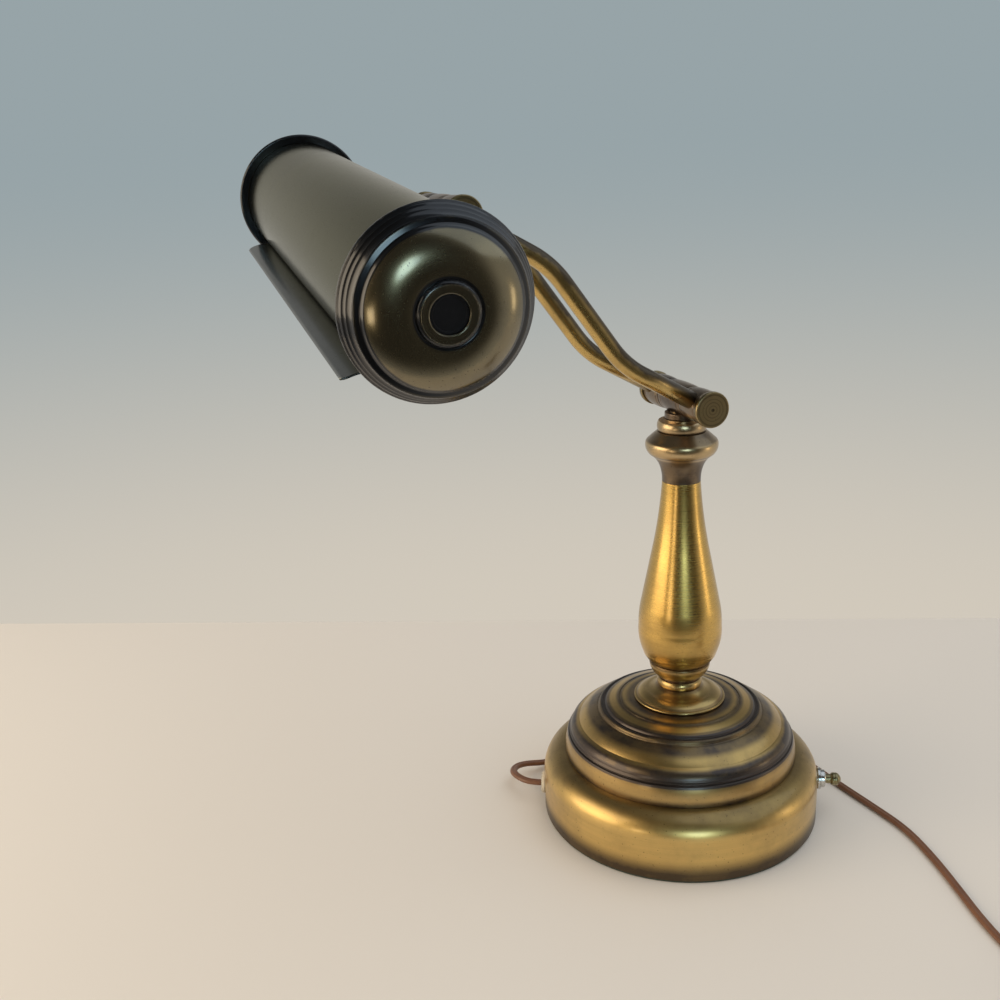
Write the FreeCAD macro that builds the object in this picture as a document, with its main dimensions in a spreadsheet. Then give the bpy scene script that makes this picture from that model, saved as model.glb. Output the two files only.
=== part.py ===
import FreeCAD, Part
import Sketcher

import math
import os

Vector = FreeCAD.Vector
Rotation = FreeCAD.Rotation
Placement = FreeCAD.Placement

# Piano lamp, in millimetres. The origin is the middle of the underside of the base, +Z is up,
# -Y is outward along the arm and X runs along the shade.

DIMENSIONS = {
    # base
    "base_radius": 82.5,
    "drum_height": 37.3,
    "drum_shoulder": 13.6,
    "drum_wall": 1.2,
    "felt_thickness": 1.5,
    "felt_inset": 1.0,
    "weight_clearance": 3.3,
    "weight_height": 26,
    "weight_edge": 2,
    "weight_slot_width": 9,
    "weight_slot_depth": 7,
    # stepped dome on the drum
    "dome_radius": 68.9,
    "dome_band_height": 12.2,
    "dome_band_taper": 1.6,
    "dome_band_bow": 0.7,
    "dome_line_depth": 1.2,
    "dome_line_bead": 0.5,
    "dome_line_pitch": 0.8,
    "dome_bulge_inset": 3.2,
    "dome_bulge_lift": 2.4,
    "dome_bulge_in": 5.4,
    "dome_bulge_rise": 5.6,
    "dome_bulge_bow": 1.1,
    "dome_slope_in": 10.6,
    "dome_slope_rise": 7.0,
    "dome_slope_bow": 0.7,
    "dome_cove_in": 1.2,
    "dome_cove_rise": 0.7,
    "dome_cove_bow": 0.2,
    "dome_bead_width": 2.3,
    "dome_bead_rise": 2.1,
    "dome_bead_bow": 0.8,
    "dome_groove_width": 1.2,
    "dome_groove_depth": 0.4,
    "dome_step_in": 3.2,
    "dome_step_rise": 1.5,
    "dome_step_bow": 0.3,
    "dome_flat_in": 6.7,
    "dome_flat_rise": 1.8,
    "dome_ring_width": 1.9,
    "dome_ring_rise": 0.5,
    "dome_ring_bow": 0.25,
    "dome_cone_in": 6.3,
    "dome_cone_rise": 0.7,
    "dome_wall": 1.1,
    # saucer under the column
    "saucer_radius": 26.8,
    "saucer_rim_height": 1.9,
    "saucer_bell_radius": 18.5,
    "saucer_bell_height": 5.2,
    "saucer_top_radius": 12.4,
    "saucer_height": 8.0,
    # column
    "foot_bead_radius": 12.3,
    "foot_bead_height": 5.1,
    "foot_bead_bow": 1.0,
    "foot_neck_radius": 11.6,
    "foot_neck_height": 6.2,
    "foot_cove_radius": 13.3,
    "foot_cove_height": 7.0,
    "foot_swell_radius": 16.9,
    "foot_swell_height": 11.4,
    "foot_lip_radius": 17.8,
    "foot_lip_height": 14.4,
    "foot_top_radius": 17.2,
    "foot_height": 16.2,
    "vase_bottom_radius": 16.8,
    "vase_shoulder_radius": 21.9,
    "vase_shoulder_height": 7,
    "vase_belly_radius": 24.3,
    "vase_belly_height": 23.5,
    "vase_taper_radius": 23.0,
    "vase_taper_height": 37,
    "vase_neck_radius": 16.7,
    "vase_neck_height": 68.5,
    "vase_waist_radius": 10.9,
    "vase_height": 111,
    "vase_wall": 1.8,
    "vase_end_ring": 3,
    "cup_throat_radius": 12.4,
    "cup_throat_height": 9.3,
    "cup_band_radius": 17.5,
    "cup_band_height": 15.8,
    "cup_band_step": 0.4,
    "cup_lip_radius": 20.4,
    "cup_lip_height": 21.8,
    "cup_top_radius": 13.9,
    "cup_height": 29,
    "ring_radius": 13.0,
    "ring_bow": 0.9,
    "ring_height": 6.3,
    "pipe_radius": 5,
    "pipe_bore_radius": 3.8,
    "pipe_clearance": 0.08,
    "nut_height": 5,
    "nut_flats": 15,
    "washer_radius": 11,
    "washer_thickness": 1.6,
    # swivel block and knuckles
    "swivel_washer_radius": 10.1,
    "swivel_washer_thickness": 1.0,
    "swivel_disc_radius": 9.7,
    "swivel_disc_height": 3.7,
    "swivel_cavity_radius": 6.6,
    "swivel_cavity_height": 4.4,
    "swivel_floor": 1.3,
    "collar_height": 2.8,
    "knuckle_rise": 12.1,
    "knuckle_bead_radius": 8.6,
    "knuckle_bow": 0.7,
    "block_half": 12.4,
    "knuckle_gap": 0.1,
    "barrel_length": 19,
    "knob_radius": 9.7,
    "knob_thickness": 3.3,
    "knob_edge": 0.4,
    "knob_ring_depth": 0.25,
    "bolt_radius": 3,
    "bolt_clearance": 0.08,
    "bolt_seat": 0.9,
    # arm
    "arm_leg": 53,
    "arm_middle": 67,
    "arm_leg_angle": 29.5,
    "arm_middle_angle": 54,
    "arm_bend_radius": 55,
    "rod_radius": 4.75,
    "rod_bore_radius": 3.6,
    "rod_spacing": 48,
    "rod_socket_floor": 4.6,
    "rod_clearance": 0.02,
    # shade
    "shade_length": 305.5,
    "shade_reach": 46.3,
    "shade_drop_angle": 12.2,
    "shade_heading": -1.6,
    "shade_tilt": 5.3,
    "tube_radius": 32.7,
    "tube_wall": 0.8,
    "slot_front_angle": -33,
    "slot_rear_angle": -139,
    "tube_end_overlap": 2,
    "neck_radius": 7,
    "neck_length": 11.4,
    "neck_bore_depth": 7,
    "saddle_radius": 9,
    "swivel_gap": 0.1,
    "nipple_nut_height": 4,
    "inner_saddle_thickness": 2.2,
    "visor_wall": 0.8,
    "visor_end_gap": 5.9,
    "visor_lap_angle": -24.5,
    "visor_root_angle": -32.7,
    "visor_out": 41,
    "visor_drop": 18.2,
    "visor_corner": 4,
    # end caps
    "cap_rim_radius": 37.5,
    "cap_rim_half": 1.2,
    "cap_rim_bow": 0.9,
    "cap_cove_radius": 35.9,
    "cap_cove_depth": 2.3,
    "cap_line_radius": 34.6,
    "cap_line_depth": 4.3,
    "cap_bead_radius": 33.0,
    "cap_bead_depth": 6.9,
    "cap_bead_width": 1.5,
    "cap_groove_radius": 30.7,
    "cap_groove_depth": 8.9,
    "cap_dome_radius": 29.7,
    "cap_dome_depth": 10.2,
    "cap_boss_radius": 12.6,
    "cap_boss_depth": 15.6,
    "cap_boss_height": 17.2,
    "cap_dish_radius": 7.3,
    "cap_dish_depth": 15.4,
    "cap_wall": 1.2,
    "cap_fit": 0.03,
    "button_thickness": 0.8,
    # lamp holders
    "bulb_radius": 14,
    "bulb_length": 108,
    "bulb_wall": 0.8,
    "bulb_cap_wall": 0.6,
    "bulb_drop": 2,
    "bulb_neck_radius": 12.4,
    "bulb_neck_length": 7,
    "bulb_shoulder": 6,
    "bulb_cap_length": 22,
    "socket_radius": 15.5,
    "socket_length": 34,
    "socket_bore_radius": 13.4,
    "socket_floor": 6,
    "bracket_width": 14,
    "bracket_thickness": 1.6,
    "bracket_length": 9,
    # switch in the drum wall
    "switch_azimuth": 62,
    "switch_height": 21.4,
    "switch_body_radius": 9,
    "switch_body_length": 20,
    "switch_setback": 2,
    "switch_bush_radius": 4,
    "switch_bush_reach": 5.1,
    "switch_nut_radius": 6.5,
    "switch_nut_thickness": 2.1,
    "switch_collar_radius": 5.3,
    "switch_collar_thickness": 2.4,
    "button_stem_radius": 2.8,
    "button_clearance": 0.08,
    "button_ball_radius": 3.7,
    "button_reach": 10.4,
    "button_travel": 1.8,
    "button_depth": 9,
    # cord bushing and cord
    "bushing_azimuth": 246,
    "bushing_height": 12,
    "bushing_flange_radius": 6.6,
    "bushing_flange_thickness": 2.2,
    "bushing_neck_radius": 4.6,
    "bushing_tail": 5,
    "cord_radius": 2.2,
    "coil_radius": 24,
    "coil_bundle_radius": 7.2,
    "coil_centre_x": 226,
    "coil_centre_y": 112,
    "tie_width": 9,
    "tie_wall": 1.1,
    "plug_width": 24,
    "plug_height": 15,
    "plug_length": 30,
    "plug_edge": 3,
    "blade_width": 6.4,
    "blade_thickness": 1.5,
    "blade_length": 17,
    "blade_spacing": 12.7,
}

doc = FreeCAD.newDocument("PianoLamp")
sheet = doc.addObject("Spreadsheet::Sheet", "Sizes")
for row, (alias, number) in enumerate(DIMENSIONS.items(), start=1):
    sheet.set("A%d" % row, alias)
    sheet.set("B%d" % row, str(number))
    sheet.setAlias("B%d" % row, alias)
doc.recompute()


class Size:
    """A number kept together with the sheet expression that gives it."""

    def __init__(self, value, text):
        self.value = float(value)
        self.text = text

    def __add__(self, other):
        other = size(other)
        return Size(self.value + other.value, "(%s + %s)" % (self.text, other.text))

    def __sub__(self, other):
        other = size(other)
        return Size(self.value - other.value, "(%s - %s)" % (self.text, other.text))

    def __mul__(self, other):
        other = size(other)
        return Size(self.value * other.value, "(%s * %s)" % (self.text, other.text))

    def __truediv__(self, other):
        other = size(other)
        return Size(self.value / other.value, "(%s / %s)" % (self.text, other.text))

    def __neg__(self):
        return Size(-self.value, "(0 - %s)" % self.text)

    def __radd__(self, other):
        return size(other) + self

    def __rsub__(self, other):
        return size(other) - self

    def __rmul__(self, other):
        return size(other) * self


def size(number):
    """A plain number as a Size; a Size comes back as it is."""
    return number if isinstance(number, Size) else Size(number, "%.10g" % number)


def cosine(angle):
    return Size(math.cos(math.radians(angle.value)), "cos(%s)" % angle.text)


def sine(angle):
    return Size(math.sin(math.radians(angle.value)), "sin(%s)" % angle.text)


def tangent(angle):
    return Size(math.tan(math.radians(angle.value)), "tan(%s)" % angle.text)


def root(number):
    return Size(math.sqrt(number.value), "sqrt(%s)" % number.text)


class Dimensions:
    """The sheet's cells, read by name."""

    def __getattr__(self, name):
        return Size(DIMENSIONS[name], "Sizes.%s" % name)


S = Dimensions()


# --- sketches and features ---------------------------------------------------------------


def new_body(label):
    body = doc.addObject("PartDesign::Body", label)
    body.Label = label
    return body


def new_sketch(body, plane, turn=None, shift=None):
    """A sketch on one of the body's own origin planes.

    turn is the angle about the sketch's upright axis; shift is the distance along its normal.
    """
    sketch = body.newObject("Sketcher::SketchObject", body.Name + "_outline")
    support = [part for part in body.Origin.OriginFeatures if part.Role == plane][0]
    sketch.AttachmentSupport = [(support, "")]
    sketch.MapMode = "FlatFace"
    if turn is not None:
        sketch.AttachmentOffset = Placement(Vector(), Rotation(Vector(0, 1, 0), turn.value))
        sketch.setExpression("AttachmentOffset.Rotation.Angle", turn.text)
    if shift is not None:
        across, along = (size(0), shift) if turn is None else (shift * sine(turn), shift * cosine(turn))
        sketch.AttachmentOffset = Placement(Vector(across.value, 0, along.value), sketch.AttachmentOffset.Rotation)
        sketch.setExpression("AttachmentOffset.Base.x", across.text)
        sketch.setExpression("AttachmentOffset.Base.z", along.text)
    return sketch


def constrain(sketch, kind, references, measure):
    """Add one driving constraint and bind it to the sheet."""
    measure = size(measure)
    index = sketch.addConstraint(Sketcher.Constraint(kind, *references, measure.value))
    sketch.setExpression("Constraints[%d]" % index, measure.text)


def place_point(sketch, edge, end, x, y):
    """Hold one end of an edge at x, y from the sketch's origin."""
    constrain(sketch, "DistanceX", (-1, 1, edge, end), x)
    constrain(sketch, "DistanceY", (-1, 1, edge, end), y)


def circle(sketch, radius, x=0, y=0):
    x, y, radius = size(x), size(y), size(radius)
    middle = Vector(x.value, y.value, 0)
    edge = sketch.addGeometry(Part.Circle(middle, Vector(0, 0, 1), radius.value))
    place_point(sketch, edge, 3, x, y)
    constrain(sketch, "Radius", (edge,), radius)
    return edge


def arc_between(start, end, bow):
    """The counterclockwise arc that bows out by bow, to the right of start-end when positive."""
    chord = end - start
    half = chord.Length / 2
    rise = abs(bow)
    radius = (half * half + rise * rise) / (2 * rise)
    right = Vector(chord.y, -chord.x, 0).normalize()
    if bow < 0:
        start, end, right = end, start, -right
    centre = (start + end) / 2 - right * (radius - rise)
    first = math.atan2(start.y - centre.y, start.x - centre.x)
    last = math.atan2(end.y - centre.y, end.x - centre.x)
    return Part.ArcOfCircle(Part.Circle(centre, Vector(0, 0, 1), radius), first, last)


def outline(sketch, corners, closed=True):
    """Draw lines and arcs through the corners, each corner held by the sheet.

    A corner is (x, y) after a straight run, or (x, y, bow) after an arc that bows out by bow.
    """
    points = [(size(corner[0]), size(corner[1])) for corner in corners]
    bows = [size(corner[2]) if len(corner) > 2 else None for corner in corners]
    count = len(corners)
    runs = list(range(1, count)) + ([0] if closed else [])
    ends = []
    for index in runs:
        start, end, bow = points[index - 1], points[index], bows[index]
        from_point = Vector(start[0].value, start[1].value, 0)
        to_point = Vector(end[0].value, end[1].value, 0)
        if bow is None:
            edge = sketch.addGeometry(Part.LineSegment(from_point, to_point))
            ends.append((edge, 1, 2))
        else:
            edge = sketch.addGeometry(arc_between(from_point, to_point, bow.value))
            ends.append((edge, 1, 2) if bow.value > 0 else (edge, 2, 1))
    for number, index in enumerate(runs):
        edge, first, last = ends[number]
        if number + 1 < len(runs) or closed:
            following, following_first, _ = ends[(number + 1) % len(runs)]
            sketch.addConstraint(Sketcher.Constraint("Coincident", edge, last, following, following_first))
        place_point(sketch, edge, last, *points[index])
        if bows[index] is not None:
            rise = bows[index] if bows[index].value > 0 else -bows[index]
            across = points[index][0] - points[index - 1][0]
            along = points[index][1] - points[index - 1][1]
            radius = ((across * across + along * along) / 4 + rise * rise) / (2 * rise)
            constrain(sketch, "Radius", (edge,), radius)
    if not closed:
        place_point(sketch, ends[0][0], ends[0][1], *points[0])
    return sketch


def revolve(body, sketch, axis="V_Axis"):
    feature = body.newObject("PartDesign::Revolution", body.Name + "_turned")
    feature.Profile = sketch
    feature.ReferenceAxis = (sketch, [axis])
    feature.Angle = 360
    return feature


def turned(label, corners):
    """A piece turned about the upright axis, from (radius, height) corners."""
    body = new_body(label)
    revolve(body, outline(new_sketch(body, "XZ_Plane"), corners))
    return body


def turned_across(label, corners):
    """A piece turned about the X axis, from (distance along X, radius) corners."""
    body = new_body(label)
    revolve(body, outline(new_sketch(body, "XY_Plane"), corners), "H_Axis")
    return body


def pad(body, sketch, length, both_ways=False, backwards=False):
    feature = body.newObject("PartDesign::Pad", body.Name + "_pad")
    feature.Profile = sketch
    feature.Length = length.value
    feature.setExpression("Length", length.text)
    feature.Midplane = both_ways
    feature.Reversed = backwards
    return feature


def pocket(body, sketch, depth, both_ways=False, backwards=False):
    """Cut the sketch into the body, against its normal unless backwards, and check that it cut."""
    doc.recompute()
    before = body.Shape.Volume
    feature = body.newObject("PartDesign::Pocket", body.Name + "_cut")
    feature.Profile = sketch
    feature.Length = depth.value
    feature.setExpression("Length", depth.text)
    feature.Midplane = both_ways
    feature.Reversed = backwards
    doc.recompute()
    if body.Shape.Volume > before - 1e-3:
        raise ValueError("%s: the pocket cuts nothing" % body.Label)
    return feature


def bore_across(body, radius, length, x=0):
    """A round hole along X, centred at x and length long."""
    sketch = new_sketch(body, "YZ_Plane", shift=size(x))
    circle(sketch, radius)
    return pocket(body, sketch, size(length), both_ways=True)


def stand(body, x=0, y=0, z=0, rotation=None):
    """Put the body in its place in the lamp, bound to the sheet."""
    x, y, z = size(x), size(y), size(z)
    body.Placement = Placement(Vector(x.value, y.value, z.value), rotation or Rotation())
    for axis, distance in (("x", x), ("y", y), ("z", z)):
        body.setExpression("Placement.Base." + axis, distance.text)
    return body


# the near piece of a pair lies towards +X and the far one towards -X
NEAR, FAR = 1, -1


# --- heights that the pieces share -------------------------------------------------------

drum_top = S.felt_thickness + S.drum_height
bulge_foot = S.dome_band_height + S.dome_bulge_lift
bulge_top = bulge_foot + S.dome_bulge_rise
slope_top = bulge_top + S.dome_slope_rise
bead_foot = slope_top + S.dome_cove_rise
bead_top = bead_foot + S.dome_bead_rise
step_top = bead_top + S.dome_step_rise
flat_top = step_top + S.dome_flat_rise
dome_top = flat_top + S.dome_ring_rise + S.dome_cone_rise
saucer_foot = drum_top + dome_top
column_foot = saucer_foot + S.saucer_height
vase_foot = column_foot + S.foot_height
cup_foot = vase_foot + S.vase_height
ring_foot = cup_foot + S.cup_height
ring_top = ring_foot + S.ring_height
washer_top = ring_top + S.swivel_washer_thickness
collar_foot = washer_top + S.swivel_floor + S.pipe_clearance
knuckle_height = ring_top + S.knuckle_rise
pipe_hole = S.pipe_radius + S.pipe_clearance
switch_front = S.base_radius - S.drum_wall - S.switch_setback
switch_back = switch_front - S.switch_body_length
weight_radius = switch_back - S.weight_clearance
barrel_start = S.block_half + S.knuckle_gap
barrel_end = barrel_start + S.barrel_length
bolt_hole = S.bolt_radius + S.bolt_clearance
rod_out = S.rod_spacing / 2

leg_along = cosine(S.arm_leg_angle)
leg_up = sine(S.arm_leg_angle)
middle_along = cosine(S.arm_middle_angle)
middle_up = sine(S.arm_middle_angle)
arm_reach = 2 * S.arm_leg * leg_along + S.arm_middle * middle_along
arm_rise = 2 * S.arm_leg * leg_up + S.arm_middle * middle_up


# --- base --------------------------------------------------------------------------------


def base_felt():
    body = new_body("base_felt")
    sketch = new_sketch(body, "XY_Plane")
    circle(sketch, S.base_radius - S.felt_inset)
    pad(body, sketch, S.felt_thickness)
    return body


def base_drum():
    """Spun brass drum, open underneath, with the switch and cord holes through its wall."""
    shoulder = S.drum_height - S.drum_shoulder
    flat = S.base_radius - S.drum_shoulder
    outer_bow = S.drum_shoulder * (1 - math.sqrt(0.5))
    inner_bow = (S.drum_shoulder - S.drum_wall) * (1 - math.sqrt(0.5))
    body = turned("base_drum", [
        (S.base_radius, 0),
        (S.base_radius, shoulder),
        (flat, S.drum_height, outer_bow),
        (pipe_hole, S.drum_height),
        (pipe_hole, S.drum_height - S.drum_wall),
        (flat, S.drum_height - S.drum_wall),
        (S.base_radius - S.drum_wall, shoulder, -inner_bow),
        (S.base_radius - S.drum_wall, 0),
    ])
    for azimuth, height, radius in (
        (S.switch_azimuth, S.switch_height, S.switch_bush_radius),
        (S.bushing_azimuth, S.bushing_height, S.bushing_neck_radius),
    ):
        hole = new_sketch(body, "YZ_Plane", turn=azimuth)
        circle(hole, radius + S.pipe_clearance, 0, height - S.felt_thickness)
        pocket(body, hole, S.base_radius + S.drum_wall, backwards=True)
    return stand(body, z=S.felt_thickness)


def base_weight():
    """Cast-iron slug hung under the drum's top, with a slot for the wires."""
    body = turned("base_weight", [
        (pipe_hole, 0),
        (weight_radius - S.weight_edge, 0),
        (weight_radius, S.weight_edge),
        (weight_radius, S.weight_height - S.weight_edge),
        (weight_radius - S.weight_edge, S.weight_height),
        (pipe_hole, S.weight_height),
    ])
    half = S.weight_slot_width / 2
    reach = weight_radius + S.weight_edge
    start = S.washer_radius + S.weight_edge
    slot = outline(new_sketch(body, "XY_Plane"), [(start, -half), (reach, -half), (reach, half), (start, half)])
    pocket(body, slot, S.weight_slot_depth, backwards=True)
    turn = Rotation(Vector(0, 0, 1), S.switch_azimuth.value)
    return stand(body, z=drum_top - S.drum_wall - S.weight_height, rotation=turn)


def base_dome():
    """Second, stepped spinning: a band, a bulge, a bead, a broad flat and a low cone."""
    band_top = S.dome_radius - S.dome_band_taper
    line = band_top - S.dome_line_depth
    line_height = S.dome_band_height + S.dome_line_pitch
    bulge = S.dome_radius - S.dome_bulge_inset
    bulge_in = bulge - S.dome_bulge_in
    slope_in = bulge_in - S.dome_slope_in
    bead = slope_in - S.dome_cove_in
    bead_in = bead - S.dome_bead_width
    step_in = bead_in - S.dome_step_in
    flat_in = step_in - S.dome_flat_in
    ring_in = flat_in - S.dome_ring_width
    cone_in = ring_in - S.dome_cone_in
    wall = S.dome_wall
    groove = S.dome_groove_depth
    return stand(turned("base_dome", [
        (S.dome_radius, 0),
        (band_top, S.dome_band_height, S.dome_band_bow),
        (line, line_height - groove),
        (line + S.dome_line_bead, line_height + S.dome_line_pitch / 2),
        (bulge, bulge_foot),
        (bulge_in, bulge_top, S.dome_bulge_bow),
        (slope_in, slope_top, S.dome_slope_bow),
        (bead, bead_foot, -S.dome_cove_bow),
        (bead_in, bead_top, S.dome_bead_bow),
        (bead_in - groove, bead_top - groove),
        (bead_in - S.dome_groove_width, bead_top - groove),
        (step_in, step_top, S.dome_step_bow),
        (flat_in, flat_top),
        (flat_in - groove, flat_top - groove),
        (ring_in, flat_top + S.dome_ring_rise, S.dome_ring_bow),
        (cone_in, dome_top),
        (pipe_hole, dome_top),
        (pipe_hole, dome_top - wall),
        (cone_in, dome_top - wall),
        (flat_in - wall, flat_top - 1.6 * wall),
        (step_in - 0.5 * wall, step_top - 1.5 * wall),
        (bead - wall, bead_foot - wall),
        (slope_in - wall, slope_top - 1.2 * wall),
        (bulge_in - 0.9 * wall, bulge_top - wall, -0.8 * S.dome_slope_bow),
        (bulge - 1.1 * wall, bulge_foot + 0.3 * wall, -0.8 * S.dome_bulge_bow),
        (line - wall, line_height - wall),
        (S.dome_radius - wall, 0, -0.8 * S.dome_band_bow),
    ]), z=drum_top)


def saucer():
    """Small spun bell between the dome and the column."""
    rim = S.saucer_radius
    return stand(turned("saucer", [
        (pipe_hole, 0),
        (rim - 0.6, 0),
        (rim - 0.4, S.saucer_rim_height, 0.7),
        (rim - 1.2, S.saucer_rim_height + 0.1),
        (S.saucer_bell_radius, S.saucer_bell_height, 0.8),
        (S.saucer_top_radius, S.saucer_height, -0.4),
        (pipe_hole, S.saucer_height),
    ]), z=saucer_foot)


# --- column ------------------------------------------------------------------------------


def column_foot_turning():
    """Turned foot: a bead, a groove and a flaring cup that carries the vase."""
    return stand(turned("column_foot", [
        (pipe_hole, 0),
        (S.foot_bead_radius, 0),
        (S.foot_bead_radius, S.foot_bead_height, S.foot_bead_bow),
        (S.foot_neck_radius, S.foot_bead_height + 0.4),
        (S.foot_neck_radius, S.foot_neck_height),
        (S.foot_cove_radius, S.foot_cove_height),
        (S.foot_swell_radius, S.foot_swell_height, 0.4),
        (S.foot_lip_radius, S.foot_lip_height, 0.2),
        (S.foot_top_radius, S.foot_height, 0.25),
        (pipe_hole, S.foot_height),
    ]), z=column_foot)


def column_vase():
    """Long hollow baluster, with a thicker ring at each end that centres it on the pipe."""
    wall = S.vase_wall
    ring = S.vase_end_ring
    return stand(turned("column_vase", [
        (pipe_hole, 0),
        (S.vase_bottom_radius, 0),
        (S.vase_shoulder_radius, S.vase_shoulder_height, 0.85),
        (S.vase_belly_radius, S.vase_belly_height, 1.0),
        (S.vase_taper_radius, S.vase_taper_height, 0.35),
        (S.vase_neck_radius, S.vase_neck_height),
        (S.vase_waist_radius, S.vase_height, -0.75),
        (pipe_hole, S.vase_height),
        (pipe_hole, S.vase_height - ring),
        (S.vase_waist_radius - wall, S.vase_height - ring),
        (S.vase_neck_radius - wall, S.vase_neck_height),
        (S.vase_taper_radius - wall, S.vase_taper_height),
        (S.vase_belly_radius - wall, S.vase_belly_height),
        (S.vase_shoulder_radius - wall, S.vase_shoulder_height),
        (S.vase_bottom_radius - wall, ring),
        (pipe_hole, ring),
    ]), z=vase_foot)


def column_cup():
    """Flared cup with a rounded lip on top of the vase."""
    return stand(turned("column_cup", [
        (pipe_hole, 0),
        (S.vase_waist_radius, 0),
        (S.cup_throat_radius, S.cup_throat_height, -0.45),
        (S.cup_band_radius, S.cup_band_height, -0.6),
        (S.cup_band_radius + S.cup_band_step, S.cup_band_height + S.cup_band_step / 2),
        (S.cup_lip_radius, S.cup_lip_height, 0.75),
        (S.cup_lip_radius - 1.6, S.cup_lip_height + 3.0, 0.45),
        (S.cup_top_radius, S.cup_height, 0.1),
        (pipe_hole, S.cup_height),
    ]), z=cup_foot)


def column_ring():
    """Beaded ring that closes the column under the swivel, with the pipe's lock nut let into it."""
    return stand(turned("column_ring", [
        (pipe_hole, 0),
        (S.ring_radius, 0),
        (S.ring_radius, S.ring_height, S.ring_bow),
        (pipe_hole, S.ring_height),
    ]), z=ring_foot)


def center_pipe():
    """Threaded pipe that clamps the whole base and column together."""
    bottom = drum_top - S.drum_wall - S.weight_height - S.washer_thickness - S.nut_height - 1
    length = collar_foot + S.collar_height - bottom
    body = new_body("center_pipe")
    sketch = new_sketch(body, "XY_Plane")
    circle(sketch, S.pipe_radius)
    circle(sketch, S.pipe_bore_radius)
    pad(body, sketch, length)
    return stand(body, z=bottom)


def hexagon(sketch, flats):
    """A hexagon of the given width across its flats."""
    corner = flats / math.sqrt(3)
    return outline(sketch, [
        (corner * round(math.cos(math.radians(60 * side)), 9), corner * math.sin(math.radians(60 * side)))
        for side in range(6)
    ])


def hex_nut(label, flats, height, bore):
    body = new_body(label)
    sketch = new_sketch(body, "XY_Plane")
    hexagon(sketch, flats)
    circle(sketch, bore)
    pad(body, sketch, height)
    return body


def pipe_washer():
    body = new_body("pipe_washer")
    sketch = new_sketch(body, "XY_Plane")
    circle(sketch, S.washer_radius)
    circle(sketch, pipe_hole)
    pad(body, sketch, S.washer_thickness)
    return stand(body, z=drum_top - S.drum_wall - S.weight_height - S.washer_thickness)


def pipe_nut():
    body = hex_nut("pipe_nut", S.nut_flats, S.nut_height, pipe_hole)
    return stand(body, z=drum_top - S.drum_wall - S.weight_height - S.washer_thickness - S.nut_height)


# --- swivel and knuckles -----------------------------------------------------------------


def swivel_washer():
    body = new_body("swivel_washer")
    sketch = new_sketch(body, "XY_Plane")
    circle(sketch, S.swivel_washer_radius)
    circle(sketch, pipe_hole)
    pad(body, sketch, S.swivel_washer_thickness)
    return stand(body, z=ring_top)


def swivel_collar():
    """Round collar screwed to the pipe above the block's floor, so that the block can't lift off."""
    body = new_body("swivel_collar")
    sketch = new_sketch(body, "XY_Plane")
    circle(sketch, S.swivel_cavity_radius - S.pipe_clearance)
    circle(sketch, pipe_hole)
    pad(body, sketch, S.collar_height)
    return stand(body, z=collar_foot)


def knuckle_bead(body, half):
    """Add the rounded bead, turned about X, that forms the middle of a knuckle."""
    sketch = outline(new_sketch(body, "XY_Plane"), [
        (-half, 0),
        (half, 0),
        (half, S.knuckle_bead_radius),
        (-half, S.knuckle_bead_radius, S.knuckle_bow),
    ])
    return revolve(body, sketch, "H_Axis")


def lower_block():
    """Block that turns on the column and carries the arm's lower bolt."""
    disc_top = S.swivel_disc_height
    axis = knuckle_height - washer_top
    body = new_body("lower_block")
    disc = outline(new_sketch(body, "XZ_Plane"), [
        (0, -axis),
        (S.swivel_disc_radius, -axis),
        (S.swivel_disc_radius, disc_top - axis),
        (0, disc_top - axis),
    ])
    revolve(body, disc)
    knuckle_bead(body, S.block_half)
    mouth = new_sketch(body, "XY_Plane", shift=-axis)
    circle(mouth, pipe_hole)
    pocket(body, mouth, S.swivel_floor, backwards=True)
    cavity = new_sketch(body, "XY_Plane", shift=S.swivel_floor - axis)
    circle(cavity, S.swivel_cavity_radius)
    pocket(body, cavity, S.swivel_cavity_height, backwards=True)
    bore_across(body, bolt_hole, 4 * S.block_half)
    return stand(body, z=knuckle_height)


def knuckle_barrel(label, side, at_lower_end):
    """Barrel at one end of a rod: bored for the bolt, with a socket for the rod."""
    inner, outer = side * barrel_start, side * barrel_end
    if side < 0:
        inner, outer = outer, inner
    body = turned_across(label, [
        (inner, bolt_hole),
        (outer, bolt_hole),
        (outer, S.knuckle_bead_radius),
        (inner, S.knuckle_bead_radius, S.knuckle_bow),
    ])
    turn = S.arm_leg_angle if at_lower_end else S.arm_leg_angle + 180
    socket = new_sketch(body, "XZ_Plane", shift=S.rod_socket_floor)
    circle(socket, S.rod_radius + S.rod_clearance, side * rod_out, 0)
    pocket(body, socket, S.knob_radius, backwards=True)
    return turn, body


def place_barrel(turn, body, at_lower_end):
    rotation = Rotation(Vector(1, 0, 0), -turn.value)
    if at_lower_end:
        return stand(body, z=knuckle_height, rotation=rotation)
    return stand(body, y=-arm_reach, z=knuckle_height + arm_rise, rotation=rotation)


def knuckle_knob(label, side):
    """Turned knob on the bolt's end, with shallow lathe rings in its face."""
    start, face = barrel_end, barrel_end + S.knob_thickness
    floor = start + S.bolt_seat
    edge = S.knob_edge
    depth = S.knob_ring_depth
    corners = [
        (start, S.bolt_radius + S.rod_clearance),
        (start, S.knob_radius - edge),
        (start + edge, S.knob_radius),
        (face - edge, S.knob_radius),
        (face, S.knob_radius - edge),
        (face, S.knob_radius * 0.72),
        (face - depth, S.knob_radius * 0.68),
        (face - depth, S.knob_radius * 0.40),
        (face, S.knob_radius * 0.36),
        (face, 0),
        (floor, 0),
        (floor, S.bolt_radius + S.rod_clearance),
    ]
    return turned_across(label, [(side * along, radius) for along, radius in corners])


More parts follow.
